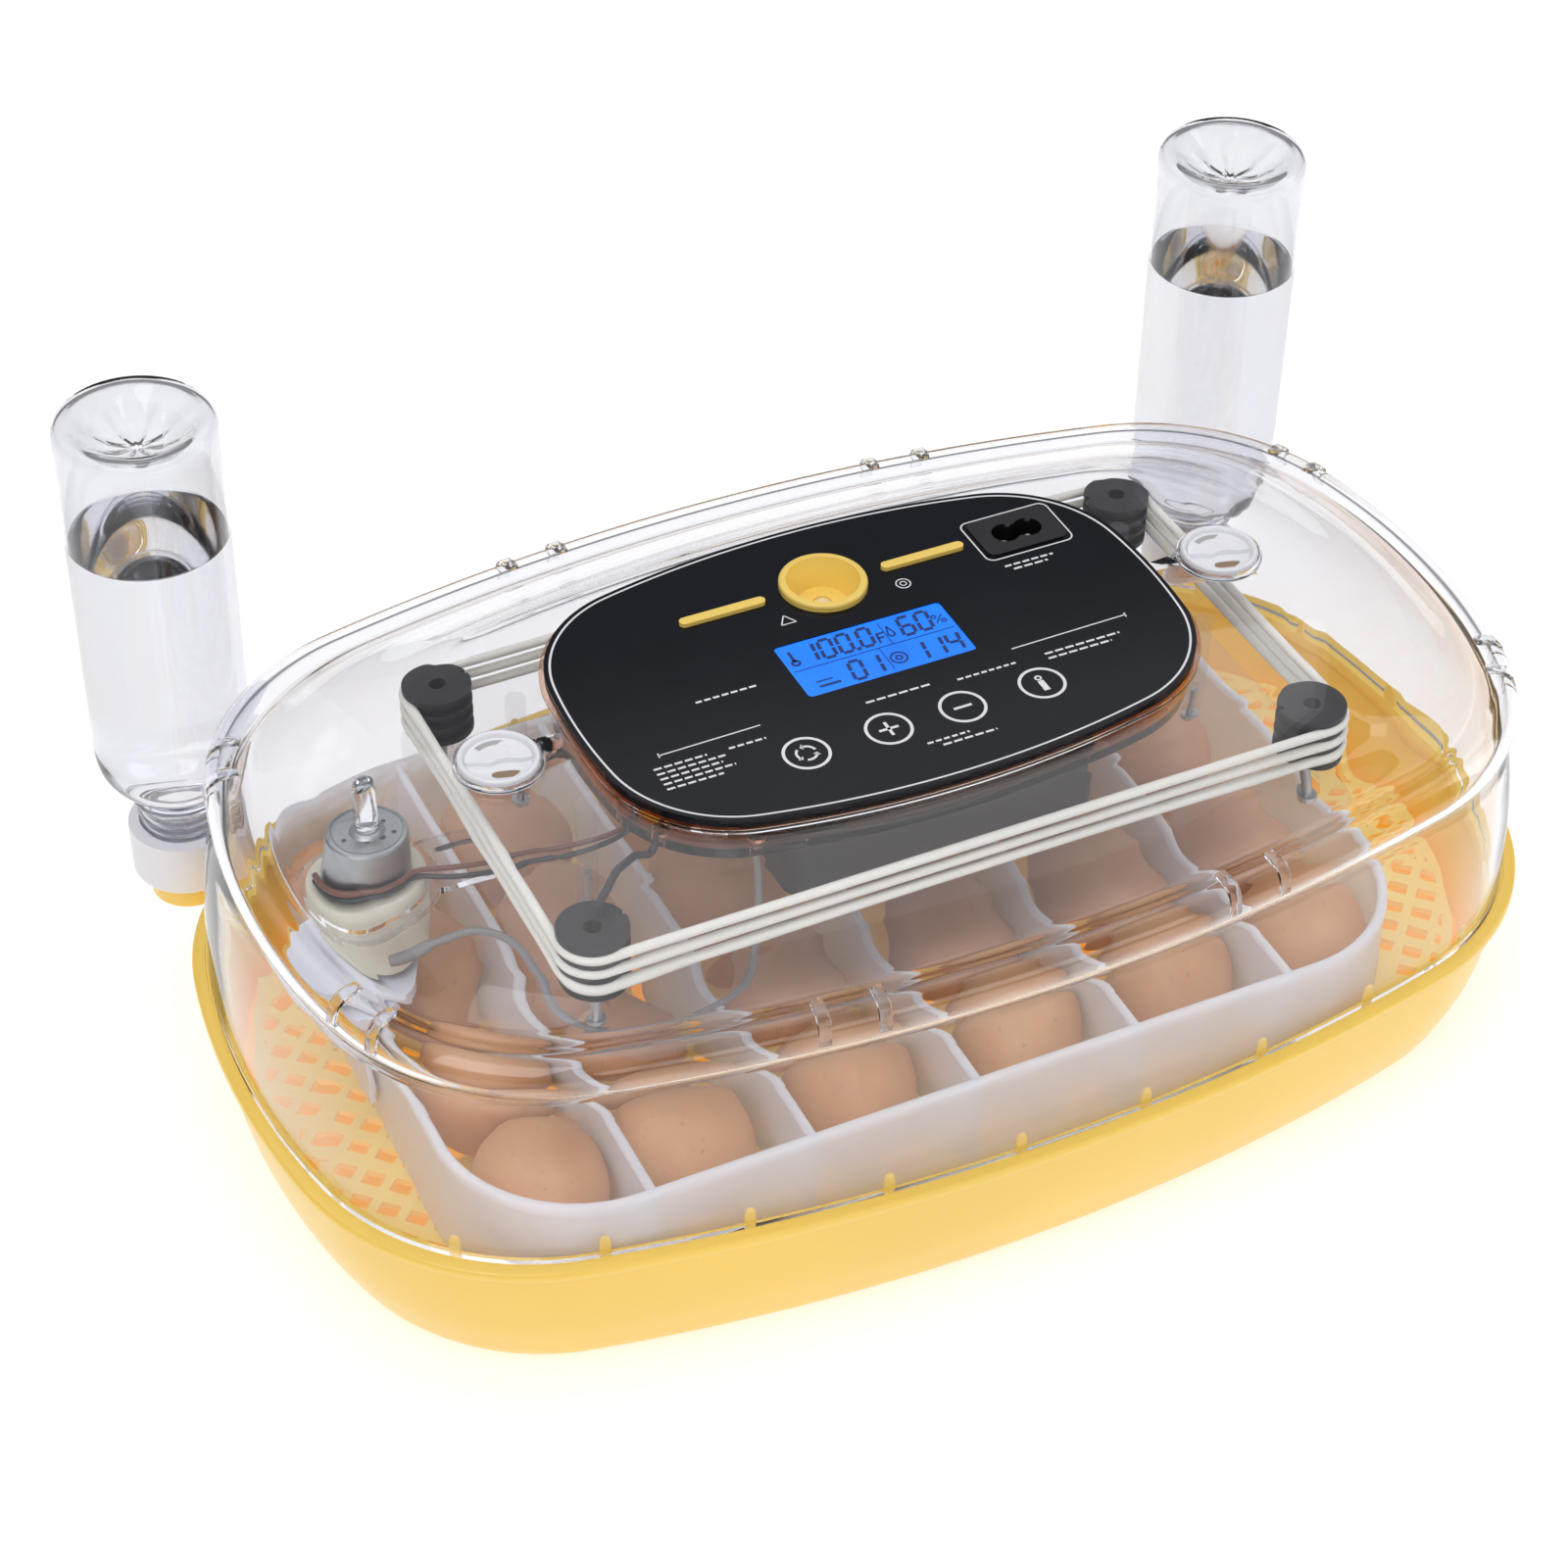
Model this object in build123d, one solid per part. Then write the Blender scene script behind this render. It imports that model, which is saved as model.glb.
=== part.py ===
"""Tabletop egg incubator: yellow water tub, clear lid with heater, fan and controls, egg tray turner, bottles.

Millimetres, +Z up, origin at the middle of the tub's flat underside.
X runs along the long side (to the right), Y runs towards the water bottles at the back.
"""
from build123d import *
from math import acos, atan2, cos, degrees, hypot, pi, radians, sin
import os

# --- driving dimensions -------------------------------------------------------------------------
WALL = 2.5                     # moulded wall of the tub and of the lid
FLUSH = 0.2                    # gap where a lift-off piece rests on another

RIM_Z = 52.0                   # top face of the tub's rim, where the lid stands
RIM_HALF = (213.0, 129.0)      # half length and half width over the rim
RIM_CORNER = 82.0
RIM_LEDGE = 8.2                # inner edge of the rim's top face
LID_INSET = 4.0                # lid wall stands this far inside the rim's edge

RING_HALF = (196.7, 117.8)     # centre line of the thick ring round the lid's top
RING_Z = 120.6
RING_RADIUS = 4.6
TOP_Z = 143.6                  # flat middle of the lid's top

GRILLE_TOP = 24.7
GRILLE_THICK = 2.2
GRILLE_INSET = 14.0
GRILLE_HOLE = (6.4, 5.0)       # air holes of the end bays, laid on the diagonal
GRILLE_PITCH = (6.5, 13.75)    # between columns, and along a column
GRILLE_COLUMNS = 7
GRILLE_FIRST_X = 154.3
PAD_AT = (207.0, 5.0)          # plain half-round pad at each end of the grille
PAD_RADIUS = 14.5

TRAY_CENTRE = (-11.9, 0.0)     # the tray stands at the left end of its stroke
TRAY_HALF = (159.6, 105.5)
TRAY_CORNER = 46.0
TRAY_WALL = 2.0
TRAY_BOTTOM = 27.0
TRAY_TOP = 66.5
DIVIDER_X = (-121.5, -70.5, -16.2, 38.1, 92.4)

EGG_RADIUS = 20.5
EGG_LENGTH = 48.0
EGG_TIP_RADIUS = 14.0
EGG_PITCH = 48.2
EGG_COLUMN_X = (-143.2, -97.0, -41.0, 15.0, 69.0, 119.4)
EGG_TURN = (0, 24, 34, 28, 32, 2)
EGG_REST_Z = 25.1

MOTOR_AXIS = (-159.0, 17.0)
CRANK_RADIUS = 13.0
CRANK_REST_ANGLE = 60.0        # crank angle from mid stroke at rest
PIN_RADIUS = 2.5
SLOT_PLAY = 1.1                # yoke slot stands this far off the pin on each side
YOKE_Z = (66.6, 71.0)
CRANK_Z = (73.0, 77.0)
CRANK_PLATE_RADIUS = 22.0      # round plate, off centre towards its pin
GEARBOX_Z = (80.0, 103.0)
GEARBOX_RADIUS = 16.7
CAN_RADIUS = 12.0
CAN_TOP = 119.0

PANEL_CENTRE_Y = 2.8
PANEL_HALF = (98.3, 64.8)
PANEL_CORNER = 42.0
PANEL_TOP = 147.0
GLASS_THICK = 2.5
BOX_BOTTOM = 130.0
CUP_AT = (0.0, 37.2)
CUP_RADIUS = 14.0
LCD_CENTRE = (0.4, 2.0)
LCD_SIZE = (56.8, 26.0)
BAR_X = (20.0, 49.0)
BAR_Y = 37.0
BAR_WIDTH = 3.6
INLET_CENTRE = (68.0, 36.8)
INLET_SIZE = (28.0, 18.4)

VENT_X = 122.4
VENT_Y = 2.5
VENT_RADIUS = 13.8

SPOOL_AT = (119.8, 60.4)
SPOOL_Y_SHIFT = 0.7
SPOOL_RADIUS = 10.7
SPOOL_Z = (113.0, 129.6)
SPOOL_HOLE = 2.75
WIRE_RADIUS = 1.5
WIRE_Z = (116.4, 121.3, 126.2)
GROOVE_DEPTH = 2.0

GUARD_Z = (98.5, 101.0)
GUARD_HALF = (131.0, 87.0)
FAN_HALF = 52.0
FAN_Z = (104.5, 127.5)
FAN_BORE = 47.0
ROTOR_RADIUS = 45.0
HUB_RADIUS = 19.0
BLADES = 7

BOTTLE_AT = (188.8, 116.1)
BOTTLE_RADIUS = 25.0
BOTTLE_TOP = 214.0
BOTTLE_WALL = 0.9
WATER_Z = 171.5
CAP_Z = (40.0, 59.0)
CAP_RADIUS = 17.4
NECK_RADIUS = 13.2
NOZZLE_RADIUS = 5.0
SOCKET_Z = (31.0, 39.8)


# --- shared shapes ------------------------------------------------------------------------------
def oval_arcs(half, corner, squareness=0.80):
    """Eight tangent arcs of an oval, counterclockwise from its right end: (x, y, radius, start, stop)."""
    a, b = half
    length = hypot(1 / a, 1 / b)
    corner_x = a * squareness - corner / a / length
    corner_y = b * squareness - corner / b / length
    side = (corner_x**2 + (corner_y - b) ** 2 - corner**2) / (2 * (b - corner_y - corner))
    end = ((corner_x - a) ** 2 + corner_y**2 - corner**2) / (2 * (a - corner_x - corner))
    low = degrees(atan2(corner_y, corner_x - (a - end)))
    high = degrees(atan2(corner_y - (b - side), corner_x))
    return [
        (a - end, 0, end, -low, low),
        (corner_x, corner_y, corner, low, high),
        (0, b - side, side, high, 180 - high),
        (-corner_x, corner_y, corner, 180 - high, 180 - low),
        (end - a, 0, end, 180 - low, 180 + low),
        (-corner_x, -corner_y, corner, 180 + low, 180 + high),
        (0, side - b, side, 180 + high, 360 - high),
        (corner_x, -corner_y, corner, 360 - high, 360 - low),
    ]


def oval_wire(half, corner, z=0.0, centre=(0.0, 0.0)):
    cx, cy = centre
    edges = [CenterArc((cx + x, cy + y, z), radius, start, stop - start)
             for x, y, radius, start, stop in oval_arcs(half, corner)]
    return Wire(edges)


def oval(half, corner, z=0.0, centre=(0.0, 0.0)):
    return Face(oval_wire(half, corner, z, centre))


def rim_oval(inset, z):
    """Oval parallel to the tub's rim, moved in by inset."""
    return oval((RIM_HALF[0] - inset, RIM_HALF[1] - inset), RIM_CORNER - inset, z)


def stack(sections):
    """Solid through a list of ovals, straight from each one to the next."""
    return loft(sections, ruled=True)


def oval_plate(half, corner, z_low, z_high, centre=(0.0, 0.0)):
    return extrude(oval(half, corner, z_low, centre), z_high - z_low)


def rod(x, y, radius, z_low, z_high):
    return Pos(x, y, z_low) * extrude(Circle(radius), z_high - z_low)


def block(x, y, size_x, size_y, z_low, z_high, corner=0.0):
    outline = RectangleRounded(size_x, size_y, corner) if corner else Rectangle(size_x, size_y)
    return Pos(x, y, z_low) * extrude(outline, z_high - z_low)


def tube_along(points, radii, radius):
    """Round cable through a polyline whose corners are tangent arcs."""
    path = FilletPolyline(*points, radius=radii)
    start = Plane(origin=path @ 0, z_dir=path % 0)
    return sweep(start * Circle(radius), path=path)


def save(node, *solids):
    shape = solids[0] if len(solids) == 1 else Compound(children=list(solids))
    shape.label = node
    export_step(shape, f"parts/{node}.step")


# --- tub, grille and bottle sockets -------------------------------------------------------------
TUB_PROFILE = [(16.5, 0.0), (13.2, 2.5), (11.6, 6.0), (7.5, 16.0), (4.6, 30.0), (2.6, 47.0)]


def tub_outside():
    sections = [rim_oval(inset, z) for inset, z in TUB_PROFILE]
    return stack(sections + [rim_oval(0.6, 48.6), rim_oval(0.0, 49.4), rim_oval(0.0, 51.4), rim_oval(0.5, RIM_Z)])


def feed_bore(side):
    """Level water way from the bottle socket's bore into the tub."""
    x, y = BOTTLE_AT[0] * side, BOTTLE_AT[1]
    inward = Plane(origin=(x, y, 34.5), z_dir=(-side * 0.79, -0.61, 0))
    return inward * extrude(Circle(2.2), 42)


def locating_ribs():
    """Small upright ribs inside the lid wall that keep the lid centred on the rim."""
    inset = LID_INSET + WALL + 0.9
    path = oval_wire((RIM_HALF[0] - inset, RIM_HALF[1] - inset), RIM_CORNER - inset)
    count = 26
    ribs = []
    for index in range(count):
        at = path @ ((index + 0.5) / count)
        way = path % ((index + 0.5) / count)
        turn = degrees(atan2(way.Y, way.X))
        ribs.append(Pos(at.X, at.Y, RIM_Z - 3) * Rot(0, 0, turn) * extrude(Rectangle(3, 1.2), 9))
    return ribs


def base_tub():
    hollow = stack([rim_oval(16.5 + WALL, 3.0), rim_oval(11.5 + WALL, 9.0), rim_oval(7.5 + WALL, 18.0),
                    rim_oval(4.6 + WALL, 30.0), rim_oval(2.9 + WALL, 43.0)])
    hollow += stack([rim_oval(2.9 + WALL, 43.0), rim_oval(RIM_LEDGE, 46.5), rim_oval(RIM_LEDGE, RIM_Z + 1)])
    tub = tub_outside() - hollow
    pool_wall = oval_plate((150, 68), 46, 2.5, 12) - oval_plate((147.5, 65.5), 43.5, 2.5, 13)
    tub = tub + pool_wall + locating_ribs()
    return tub - feed_bore(1) - feed_bore(-1)


def end_bay_holes():
    """Staggered diagonal air holes in both end bays, clear of the grille's edge and of its pads."""
    holes = []
    for side in (-1, 1):
        for column in range(GRILLE_COLUMNS):
            x = side * (GRILLE_FIRST_X + column * GRILLE_PITCH[0])
            for row in range(-6, 7):
                y = (row + 0.5 * ((column + 1) % 2 == 0)) * GRILLE_PITCH[1]
                holes.append(Pos(x, y) * Rot(0, 0, -45) * RectangleRounded(*GRILLE_HOLE, 0.6))
    kept = (Sketch() + holes) & rim_oval(GRILLE_INSET + 3, 0)
    return kept - [Pos(PAD_AT[0] * side, PAD_AT[1]) * Circle(PAD_RADIUS + 1.5) for side in (-1, 1)]


def floor_grille():
    plate = extrude(rim_oval(GRILLE_INSET, GRILLE_TOP - GRILLE_THICK), GRILLE_THICK)
    legs = [rod(x, y, 4, 3.0, GRILLE_TOP - 1) for x in (-144, -80, 0, 80, 144) for y in (-42, 42)]
    legs += [rod(x, y, 4, 3.0, GRILLE_TOP - 1) for x in (-80, 0, 80) for y in (-98, 98)]
    under_tray = [Pos(-128 + column * 32, (row - 3) * 28) * RectangleRounded(18, 10, 3)
                  for column in range(9) for row in range(7)]
    floor = GRILLE_TOP - GRILLE_THICK - 1
    plate -= Pos(0, 0, floor) * extrude(Sketch() + under_tray, GRILLE_THICK + 2)
    plate -= Pos(0, 0, floor) * extrude(end_bay_holes(), GRILLE_THICK + 2)
    for side in (-1, 1):
        plate += rod(PAD_AT[0] * side, PAD_AT[1], PAD_RADIUS, GRILLE_TOP - 1, GRILLE_TOP + 0.8) & extrude(
            rim_oval(GRILLE_INSET, GRILLE_TOP - 1), 2)
    return plate + legs


def bottle_socket(side):
    """Arm that stands out of the tub's back corner and holds one bottle's valve."""
    x, y = BOTTLE_AT[0] * side, BOTTLE_AT[1]
    z_low, z_high = SOCKET_Z
    seat = rod(x, y, 12.5, z_low, z_high)
    turn = degrees(atan2(-0.61, -0.79 * side))
    arm = Pos(x, y, z_low) * Rot(0, 0, turn) * Pos(16, 0, 0) * extrude(Rectangle(32, 18), z_high - z_low - 2)
    socket = seat + arm - tub_outside()
    socket -= rod(x, y, NOZZLE_RADIUS + 0.15, z_low + 2, z_high + 1)
    return socket - feed_bore(side)


# --- egg tray -----------------------------------------------------------------------------------
def tray_outline(inset):
    width = 2 * (TRAY_HALF[0] - inset)
    depth = 2 * (TRAY_HALF[1] - inset)
    return Pos(*TRAY_CENTRE) * RectangleRounded(width, depth, TRAY_CORNER - inset)


def tray_frame():
    height = TRAY_TOP - TRAY_BOTTOM
    wall = extrude(tray_outline(0), height) - extrude(tray_outline(TRAY_WALL), height)
    frame = Pos(0, 0, TRAY_BOTTOM) * wall
    x, y = TRAY_CENTRE
    edge = TRAY_HALF[1] - TRAY_WALL / 2
    pads = []
    for step in (-100, 0, 100):
        for end in (-edge, edge):
            pads.append(block(x + step, y + end, 14, TRAY_WALL, GRILLE_TOP + 0.1, TRAY_BOTTOM + 1))
    notch = block(CRANK_PIN_X, YOKE_MID_Y, 12, 17, TRAY_TOP - 2.5, TRAY_TOP + 1)
    return frame + pads - notch


def tray_divider(x):
    """Thin wall between two columns of eggs, with a thicker top bead and end tabs."""
    depth = 2 * (TRAY_HALF[1] - TRAY_WALL) - 0.2
    y = TRAY_CENTRE[1]
    web = block(x, y, 1.4, depth, TRAY_BOTTOM + 1, TRAY_TOP - 1)
    bead = block(x, y, 3.0, depth, TRAY_TOP - 3, TRAY_TOP - 0.5, 1.2)
    return web + bead


def egg():
    """Solid of revolution from two end arcs and a tangent side arc, lying along Y, blunt end at -Y."""
    tip = EGG_LENGTH - EGG_RADIUS - EGG_TIP_RADIUS
    side = (EGG_RADIUS**2 + tip**2 - EGG_TIP_RADIUS**2) / (2 * (EGG_RADIUS - EGG_TIP_RADIUS))
    lean = atan2(tip, side - EGG_RADIUS)
    join = (EGG_TIP_RADIUS * cos(lean), tip + EGG_TIP_RADIUS * sin(lean))
    half_lean = lean / 2
    middle = (EGG_RADIUS - side + side * cos(half_lean), side * sin(half_lean))
    blunt = ThreePointArc((0, -EGG_RADIUS), (EGG_RADIUS * cos(pi / 4), -EGG_RADIUS * sin(pi / 4)), (EGG_RADIUS, 0))
    flank = ThreePointArc((EGG_RADIUS, 0), middle, join)
    point_mid = (EGG_TIP_RADIUS * sin(pi / 4 - half_lean), tip + EGG_TIP_RADIUS * cos(pi / 4 - half_lean))
    point = ThreePointArc(join, point_mid, (0, EGG_LENGTH - EGG_RADIUS))
    axis = Line((0, EGG_LENGTH - EGG_RADIUS), (0, -EGG_RADIUS))
    body = revolve(make_face([blunt, flank, point, axis]), Axis.Y)
    return Pos(0, EGG_RADIUS - EGG_LENGTH / 2, 0) * body


def egg_column(column):
    """Four eggs in one channel of the tray, each turned its own way."""
    eggs = []
    for row in range(4):
        y = TRAY_CENTRE[1] + (row - 1.5) * EGG_PITCH
        swing = EGG_TURN[column] * sin(2.1 * row + 1.3 * column + 0.6)
        flip = 180 * ((row + 1) % 2)
        spot = Pos(EGG_COLUMN_X[column], y, EGG_REST_Z + EGG_RADIUS)
        eggs.append(spot * Rot(0, 0, swing + flip) * egg())
    return eggs


# --- turner: crank, yoke and gear motor ---------------------------------------------------------
REST = radians(CRANK_REST_ANGLE)
CRANK_PIN_X = MOTOR_AXIS[0] - CRANK_RADIUS * sin(REST)
CRANK_PIN_Y = MOTOR_AXIS[1] - CRANK_RADIUS * cos(REST)
YOKE_MID_Y = (CRANK_PIN_Y + MOTOR_AXIS[1] - CRANK_RADIUS) / 2


def turning_yoke():
    """Rounded lobe on the tray's left wall, slotted across for the crank pin."""
    z_low, z_high = YOKE_Z
    lobe = rod(CRANK_PIN_X - 1.2, YOKE_MID_Y, 12.5, z_low, z_high)
    lobe += rod(CRANK_PIN_X - 2.2, YOKE_MID_Y - 11, 9.5, z_low, z_high)
    apron = block(CRANK_PIN_X - 3.3, YOKE_MID_Y - 6, 2.4, 26, TRAY_BOTTOM + 12, z_low + 1, 1.0)
    travel = CRANK_PIN_Y - (MOTOR_AXIS[1] - CRANK_RADIUS)
    width = 2 * (PIN_RADIUS + SLOT_PLAY)
    outline = Pos(CRANK_PIN_X, YOKE_MID_Y) * Rot(0, 0, 90) * SlotOverall(travel + width + 1, width)
    slot = Pos(0, 0, z_low - 3) * extrude(outline, z_high - z_low + 4)
    return lobe + apron - slot


def crank_disc():
    x, y = MOTOR_AXIS
    z_low, z_high = CRANK_Z
    lean = Vector(CRANK_PIN_X - x, CRANK_PIN_Y - y)
    disc = rod(x + lean.X * 0.85, y + lean.Y * 0.85, CRANK_PLATE_RADIUS, z_low, z_high)
    disc += rod(x, y, 7, z_high, z_high + 2)
    disc -= rod(x, y, 2.55, z_high - 2, z_high + 3)
    disc -= rod(CRANK_PIN_X, CRANK_PIN_Y, 1.5, z_low - 1, z_high + 1)
    for turn, reach in ((-108, 21.3), (-55, CRANK_RADIUS)):
        disc -= rod(x + reach * cos(radians(turn)), y + reach * sin(radians(turn)), 1.6, z_low - 1, z_high + 1)
    return disc


def crank_pin():
    shank = rod(CRANK_PIN_X, CRANK_PIN_Y, 1.48, CRANK_Z[0] - 1, CRANK_Z[1])
    return rod(CRANK_PIN_X, CRANK_PIN_Y, PIN_RADIUS, 67.0, CRANK_Z[0]) + shank


def motor_gearbox():
    x, y = MOTOR_AXIS
    low, high = GEARBOX_Z
    shell = rod(x, y, GEARBOX_RADIUS, low, high - 5)
    shell += Pos(x, y, high - 5) * extrude(Circle(GEARBOX_RADIUS), 5, taper=24)
    return shell


def motor_shaft():
    return rod(*MOTOR_AXIS, 2.5, CRANK_Z[1] - 1.9, GEARBOX_Z[0])


def motor_can():
    x, y = MOTOR_AXIS
    can = rod(x, y, CAN_RADIUS, GEARBOX_Z[1], CAN_TOP)
    can = fillet(can.edges().sort_by(Axis.Z)[-1], 0.8)
    return can + rod(x, y, 3.2, CAN_TOP - 1, CAN_TOP + 1.6)


def motor_bracket():
    """Clear collar round the gearbox with two arms to the guard plate."""
    x, y = MOTOR_AXIS
    low, high = GUARD_Z[0] - 2.5, GUARD_Z[0] - 0.1
    reach = -GUARD_HALF[0] + 8 - x
    bracket = rod(x, y, GEARBOX_RADIUS + 4, low, high)
    for arm_y in (-9, 9):
        bracket += block(x + reach / 2, y + arm_y, reach, 5, low, high)
    return bracket - rod(x, y, GEARBOX_RADIUS + 0.02, low - 1, high + 1)


# --- lid ----------------------------------------------------------------------------------------
LID_WALL_PROFILE = [(4.0, 52.2), (4.3, 60.0), (4.8, 75.0), (6.2, 92.0), (8.8, 106.0)]
LID_TOP_PROFILE = [            # half size, corner, z, and how much of the wall's thickness is downward there
    ((201.3, 122.4), 75.5, 116.6, 0.0),
    ((201.3, 122.4), 75.5, 121.0, 0.0),
    ((199.0, 120.1), 74.0, 124.4, 0.6),
    ((195.2, 116.2), 71.5, 125.4, 1.0),
    ((190.0, 110.6), 68.0, 126.4, 1.0),
    ((176.0, 97.5), 60.0, 134.0, 1.0),
    ((160.0, 84.5), 52.0, 140.4, 1.0),
    ((145.0, 75.0), 47.0, TOP_Z, 1.0),
]


def lid_sections(thickness):
    """Outline ovals of the lid, moved in and down by thickness."""
    sections = [rim_oval(inset + thickness, z) for inset, z in LID_WALL_PROFILE]
    for half, corner, z, downward in LID_TOP_PROFILE:
        inner = (half[0] - thickness, half[1] - thickness)
        sections.append(oval(inner, corner - thickness, z - thickness * downward))
    return sections


def lid_shell():
    outside = stack(lid_sections(0.0))
    lower = rim_oval(LID_INSET + WALL, 51.0)
    inside = stack([lower] + lid_sections(WALL)[1:])
    shell = outside - inside
    shell -= oval_plate((PANEL_HALF[0] - 0.3, PANEL_HALF[1] - 0.3), PANEL_CORNER, 138, 150,
                        centre=(0, PANEL_CENTRE_Y))
    for side in (-1, 1):
        shell -= rod(VENT_X * side, VENT_Y, 11.6, 138, 150)
    shell += rod(*MOTOR_AXIS, 3.6, CAN_TOP + 1.7, 139.0) & outside
    shell += [block(x, y, 8, 8, 138.5, TOP_Z - 1.2, 3) - rod(x, y, 1.3, 138, 142) for x, y in guard_post_places()]
    return shell


CLIP_SIDE_X = (57.0, 75.0)     # places of the clip pairs along the front and back
CLIP_CORNER_TURN = (15.0, 27.0)  # and round each corner, in degrees


def clip_places():
    """Places and outward directions of the clips on the ring's outer face."""
    half, corner, _, _ = LID_TOP_PROFILE[0]
    arcs = oval_arcs(half, corner)
    corner_x, corner_y, corner_radius = arcs[1][:3]
    side_y, side_radius = arcs[2][1:3]
    turns = [(0.0, side_y, side_radius, degrees(acos(x / side_radius))) for x in CLIP_SIDE_X]
    turns += [(corner_x, corner_y, corner_radius, turn) for turn in CLIP_CORNER_TURN]
    places = []
    for cx, cy, radius, turn in turns:
        x, y = cx + radius * cos(radians(turn)), cy + radius * sin(radians(turn))
        places += [(x, y, turn), (-x, y, 180 - turn), (-x, -y, 180 + turn), (x, -y, -turn)]
    return places


def rim_clips():
    """Small clear clips in eight pairs on the upright outer face of the ring."""
    low, high = LID_TOP_PROFILE[0][2] + 0.1, LID_TOP_PROFILE[1][2] + 0.2
    clip = Pos(0.9, 0, 0) * extrude(RectangleRounded(1.6, 5.0, 0.6), high - low)
    return [Pos(x, y, low) * Rot(0, 0, turn) * clip for x, y, turn in clip_places()]


def guard_post_places():
    return [(x, y) for x in (-104.5, 104.5) for y in (-19, 34)]


def guard_plate():
    """Clear plate under the heater and fan, with a pillar for each spool and air holes under the fan."""
    low, high = GUARD_Z
    plate = block(0, SPOOL_Y_SHIFT, 2 * GUARD_HALF[0], 2 * GUARD_HALF[1], low, high, 24)
    holes = []
    for column in range(-4, 5):
        for row in range(-4, 5):
            if hypot(column, row) < 4.4:
                holes.append(Pos(column * 10, row * 10 + PANEL_CENTRE_Y) * RectangleRounded(7, 7, 1.5))
    plate -= Pos(0, 0, low - 1) * extrude(Sketch() + holes, high - low + 2)
    for x, y in spool_places():
        plate += rod(x, y, 4.0, high, SPOOL_Z[0])
        plate -= rod(x, y, 1.7, low - 1, SPOOL_Z[0] + 1)
    for x, y in guard_post_places():
        plate -= rod(x, y, 1.7, low - 1, high + 1)
    return plate - rod(SENSOR_HOLE[0] - 1, SENSOR_HOLE[1] - 1.2, 5.5, low - 1, high + 1)


def guard_posts():
    return [rod(x, y, 3.2, GUARD_Z[1], 138.4) - rod(x, y, 1.3, GUARD_Z[1] - 1, 112) for x, y in guard_post_places()]


def guard_screws():
    """Screws up through the guard plate into its posts."""
    screws = []
    for x, y in guard_post_places():
        screws.append(rod(x, y, 2.8, GUARD_Z[0] - 1.6, GUARD_Z[0]) + rod(x, y, 1.2, GUARD_Z[0] - 1, 110))
    return screws


# --- heater -------------------------------------------------------------------------------------
def spool_places():
    return [(x, y + SPOOL_Y_SHIFT) for x in (-SPOOL_AT[0], SPOOL_AT[0]) for y in (-SPOOL_AT[1], SPOOL_AT[1])]


def heater_spool(x, y):
    low, high = SPOOL_Z
    spool = rod(x, y, SPOOL_RADIUS, low, high) - rod(x, y, SPOOL_HOLE, low - 1, high + 1)
    groove = 2 * (WIRE_RADIUS + 0.15)
    for z in WIRE_Z:
        collar = rod(x, y, SPOOL_RADIUS + 1, z - groove / 2, z + groove / 2)
        spool -= collar - rod(x, y, SPOOL_RADIUS - GROOVE_DEPTH, z - groove / 2, z + groove / 2)
    outward = 1 if x > 0 else -1
    return spool - block(x - outward * SPOOL_RADIUS, y + 2, 3.0, 1.6, high - 1.6, high + 1)


def heating_wire(z):
    """One silicone wire loop laid in the same groove of all four spools."""
    reach = SPOOL_RADIUS - GROOVE_DEPTH + WIRE_RADIUS + 0.05
    outline = RectangleRounded(2 * (SPOOL_AT[0] + reach), 2 * (SPOOL_AT[1] + reach), reach)
    path = (Pos(0, SPOOL_Y_SHIFT, z) * outline).wire()
    start = Plane(origin=path @ 0, z_dir=path % 0)
    return sweep(start * Circle(WIRE_RADIUS), path=path)


def spool_screws():
    """Screws up through guard plate and pillar; a nut-like collar inside each spool takes the thread."""
    screws = []
    for x, y in spool_places():
        screws.append(rod(x, y, 3.0, GUARD_Z[0] - 1.6, GUARD_Z[0]) + rod(x, y, 1.5, GUARD_Z[0] - 1, 118)
                      + rod(x, y, SPOOL_HOLE - 0.02, 114, 118))
    return screws


# --- control box --------------------------------------------------------------------------------
def panel_plate(inset, low, high):
    half = (PANEL_HALF[0] - inset, PANEL_HALF[1] - inset)
    return oval_plate(half, PANEL_CORNER - inset, low, high, centre=(0, PANEL_CENTRE_Y))


def control_box():
    top = PANEL_TOP - GLASS_THICK
    box = panel_plate(1.0, BOX_BOTTOM, top) - panel_plate(3.2, BOX_BOTTOM + WALL, top + 1)
    for x, y in fan_screw_places():
        box -= rod(x, y, 1.65, BOX_BOTTOM - 1, BOX_BOTTOM + WALL + 1)
        box -= rod(x * 1.2, y * 0.35, 2.5, BOX_BOTTOM - 1, BOX_BOTTOM + WALL + 1)
    for x, y in (LEAD_ENTRY, SENSOR_ENTRY, HEATER_ENTRY):
        box -= rod(x, y, 3.0, BOX_BOTTOM - 1, BOX_BOTTOM + WALL + 1)
    return box + [rod(x, y, 3, BOX_BOTTOM + 1, 135.0) for x in (-62, 62) for y in (-28, 20)]


def control_glass():
    glass = panel_plate(0.0, PANEL_TOP - GLASS_THICK, PANEL_TOP)
    low, high = PANEL_TOP - GLASS_THICK - 1, PANEL_TOP + 1
    glass -= rod(*CUP_AT, CUP_RADIUS - 0.9, low, high)
    glass -= block(*LCD_CENTRE, LCD_SIZE[0], LCD_SIZE[1], low, high, 1.5)
    glass -= block(*INLET_CENTRE, INLET_SIZE[0] - 1.4, INLET_SIZE[1] - 1.4, low, high, 2.0)
    for side in (-1, 1):
        glass -= block(side * sum(BAR_X) / 2, BAR_Y, BAR_X[1] - BAR_X[0], BAR_WIDTH, low, high, BAR_WIDTH / 2.01)
    return glass


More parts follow.
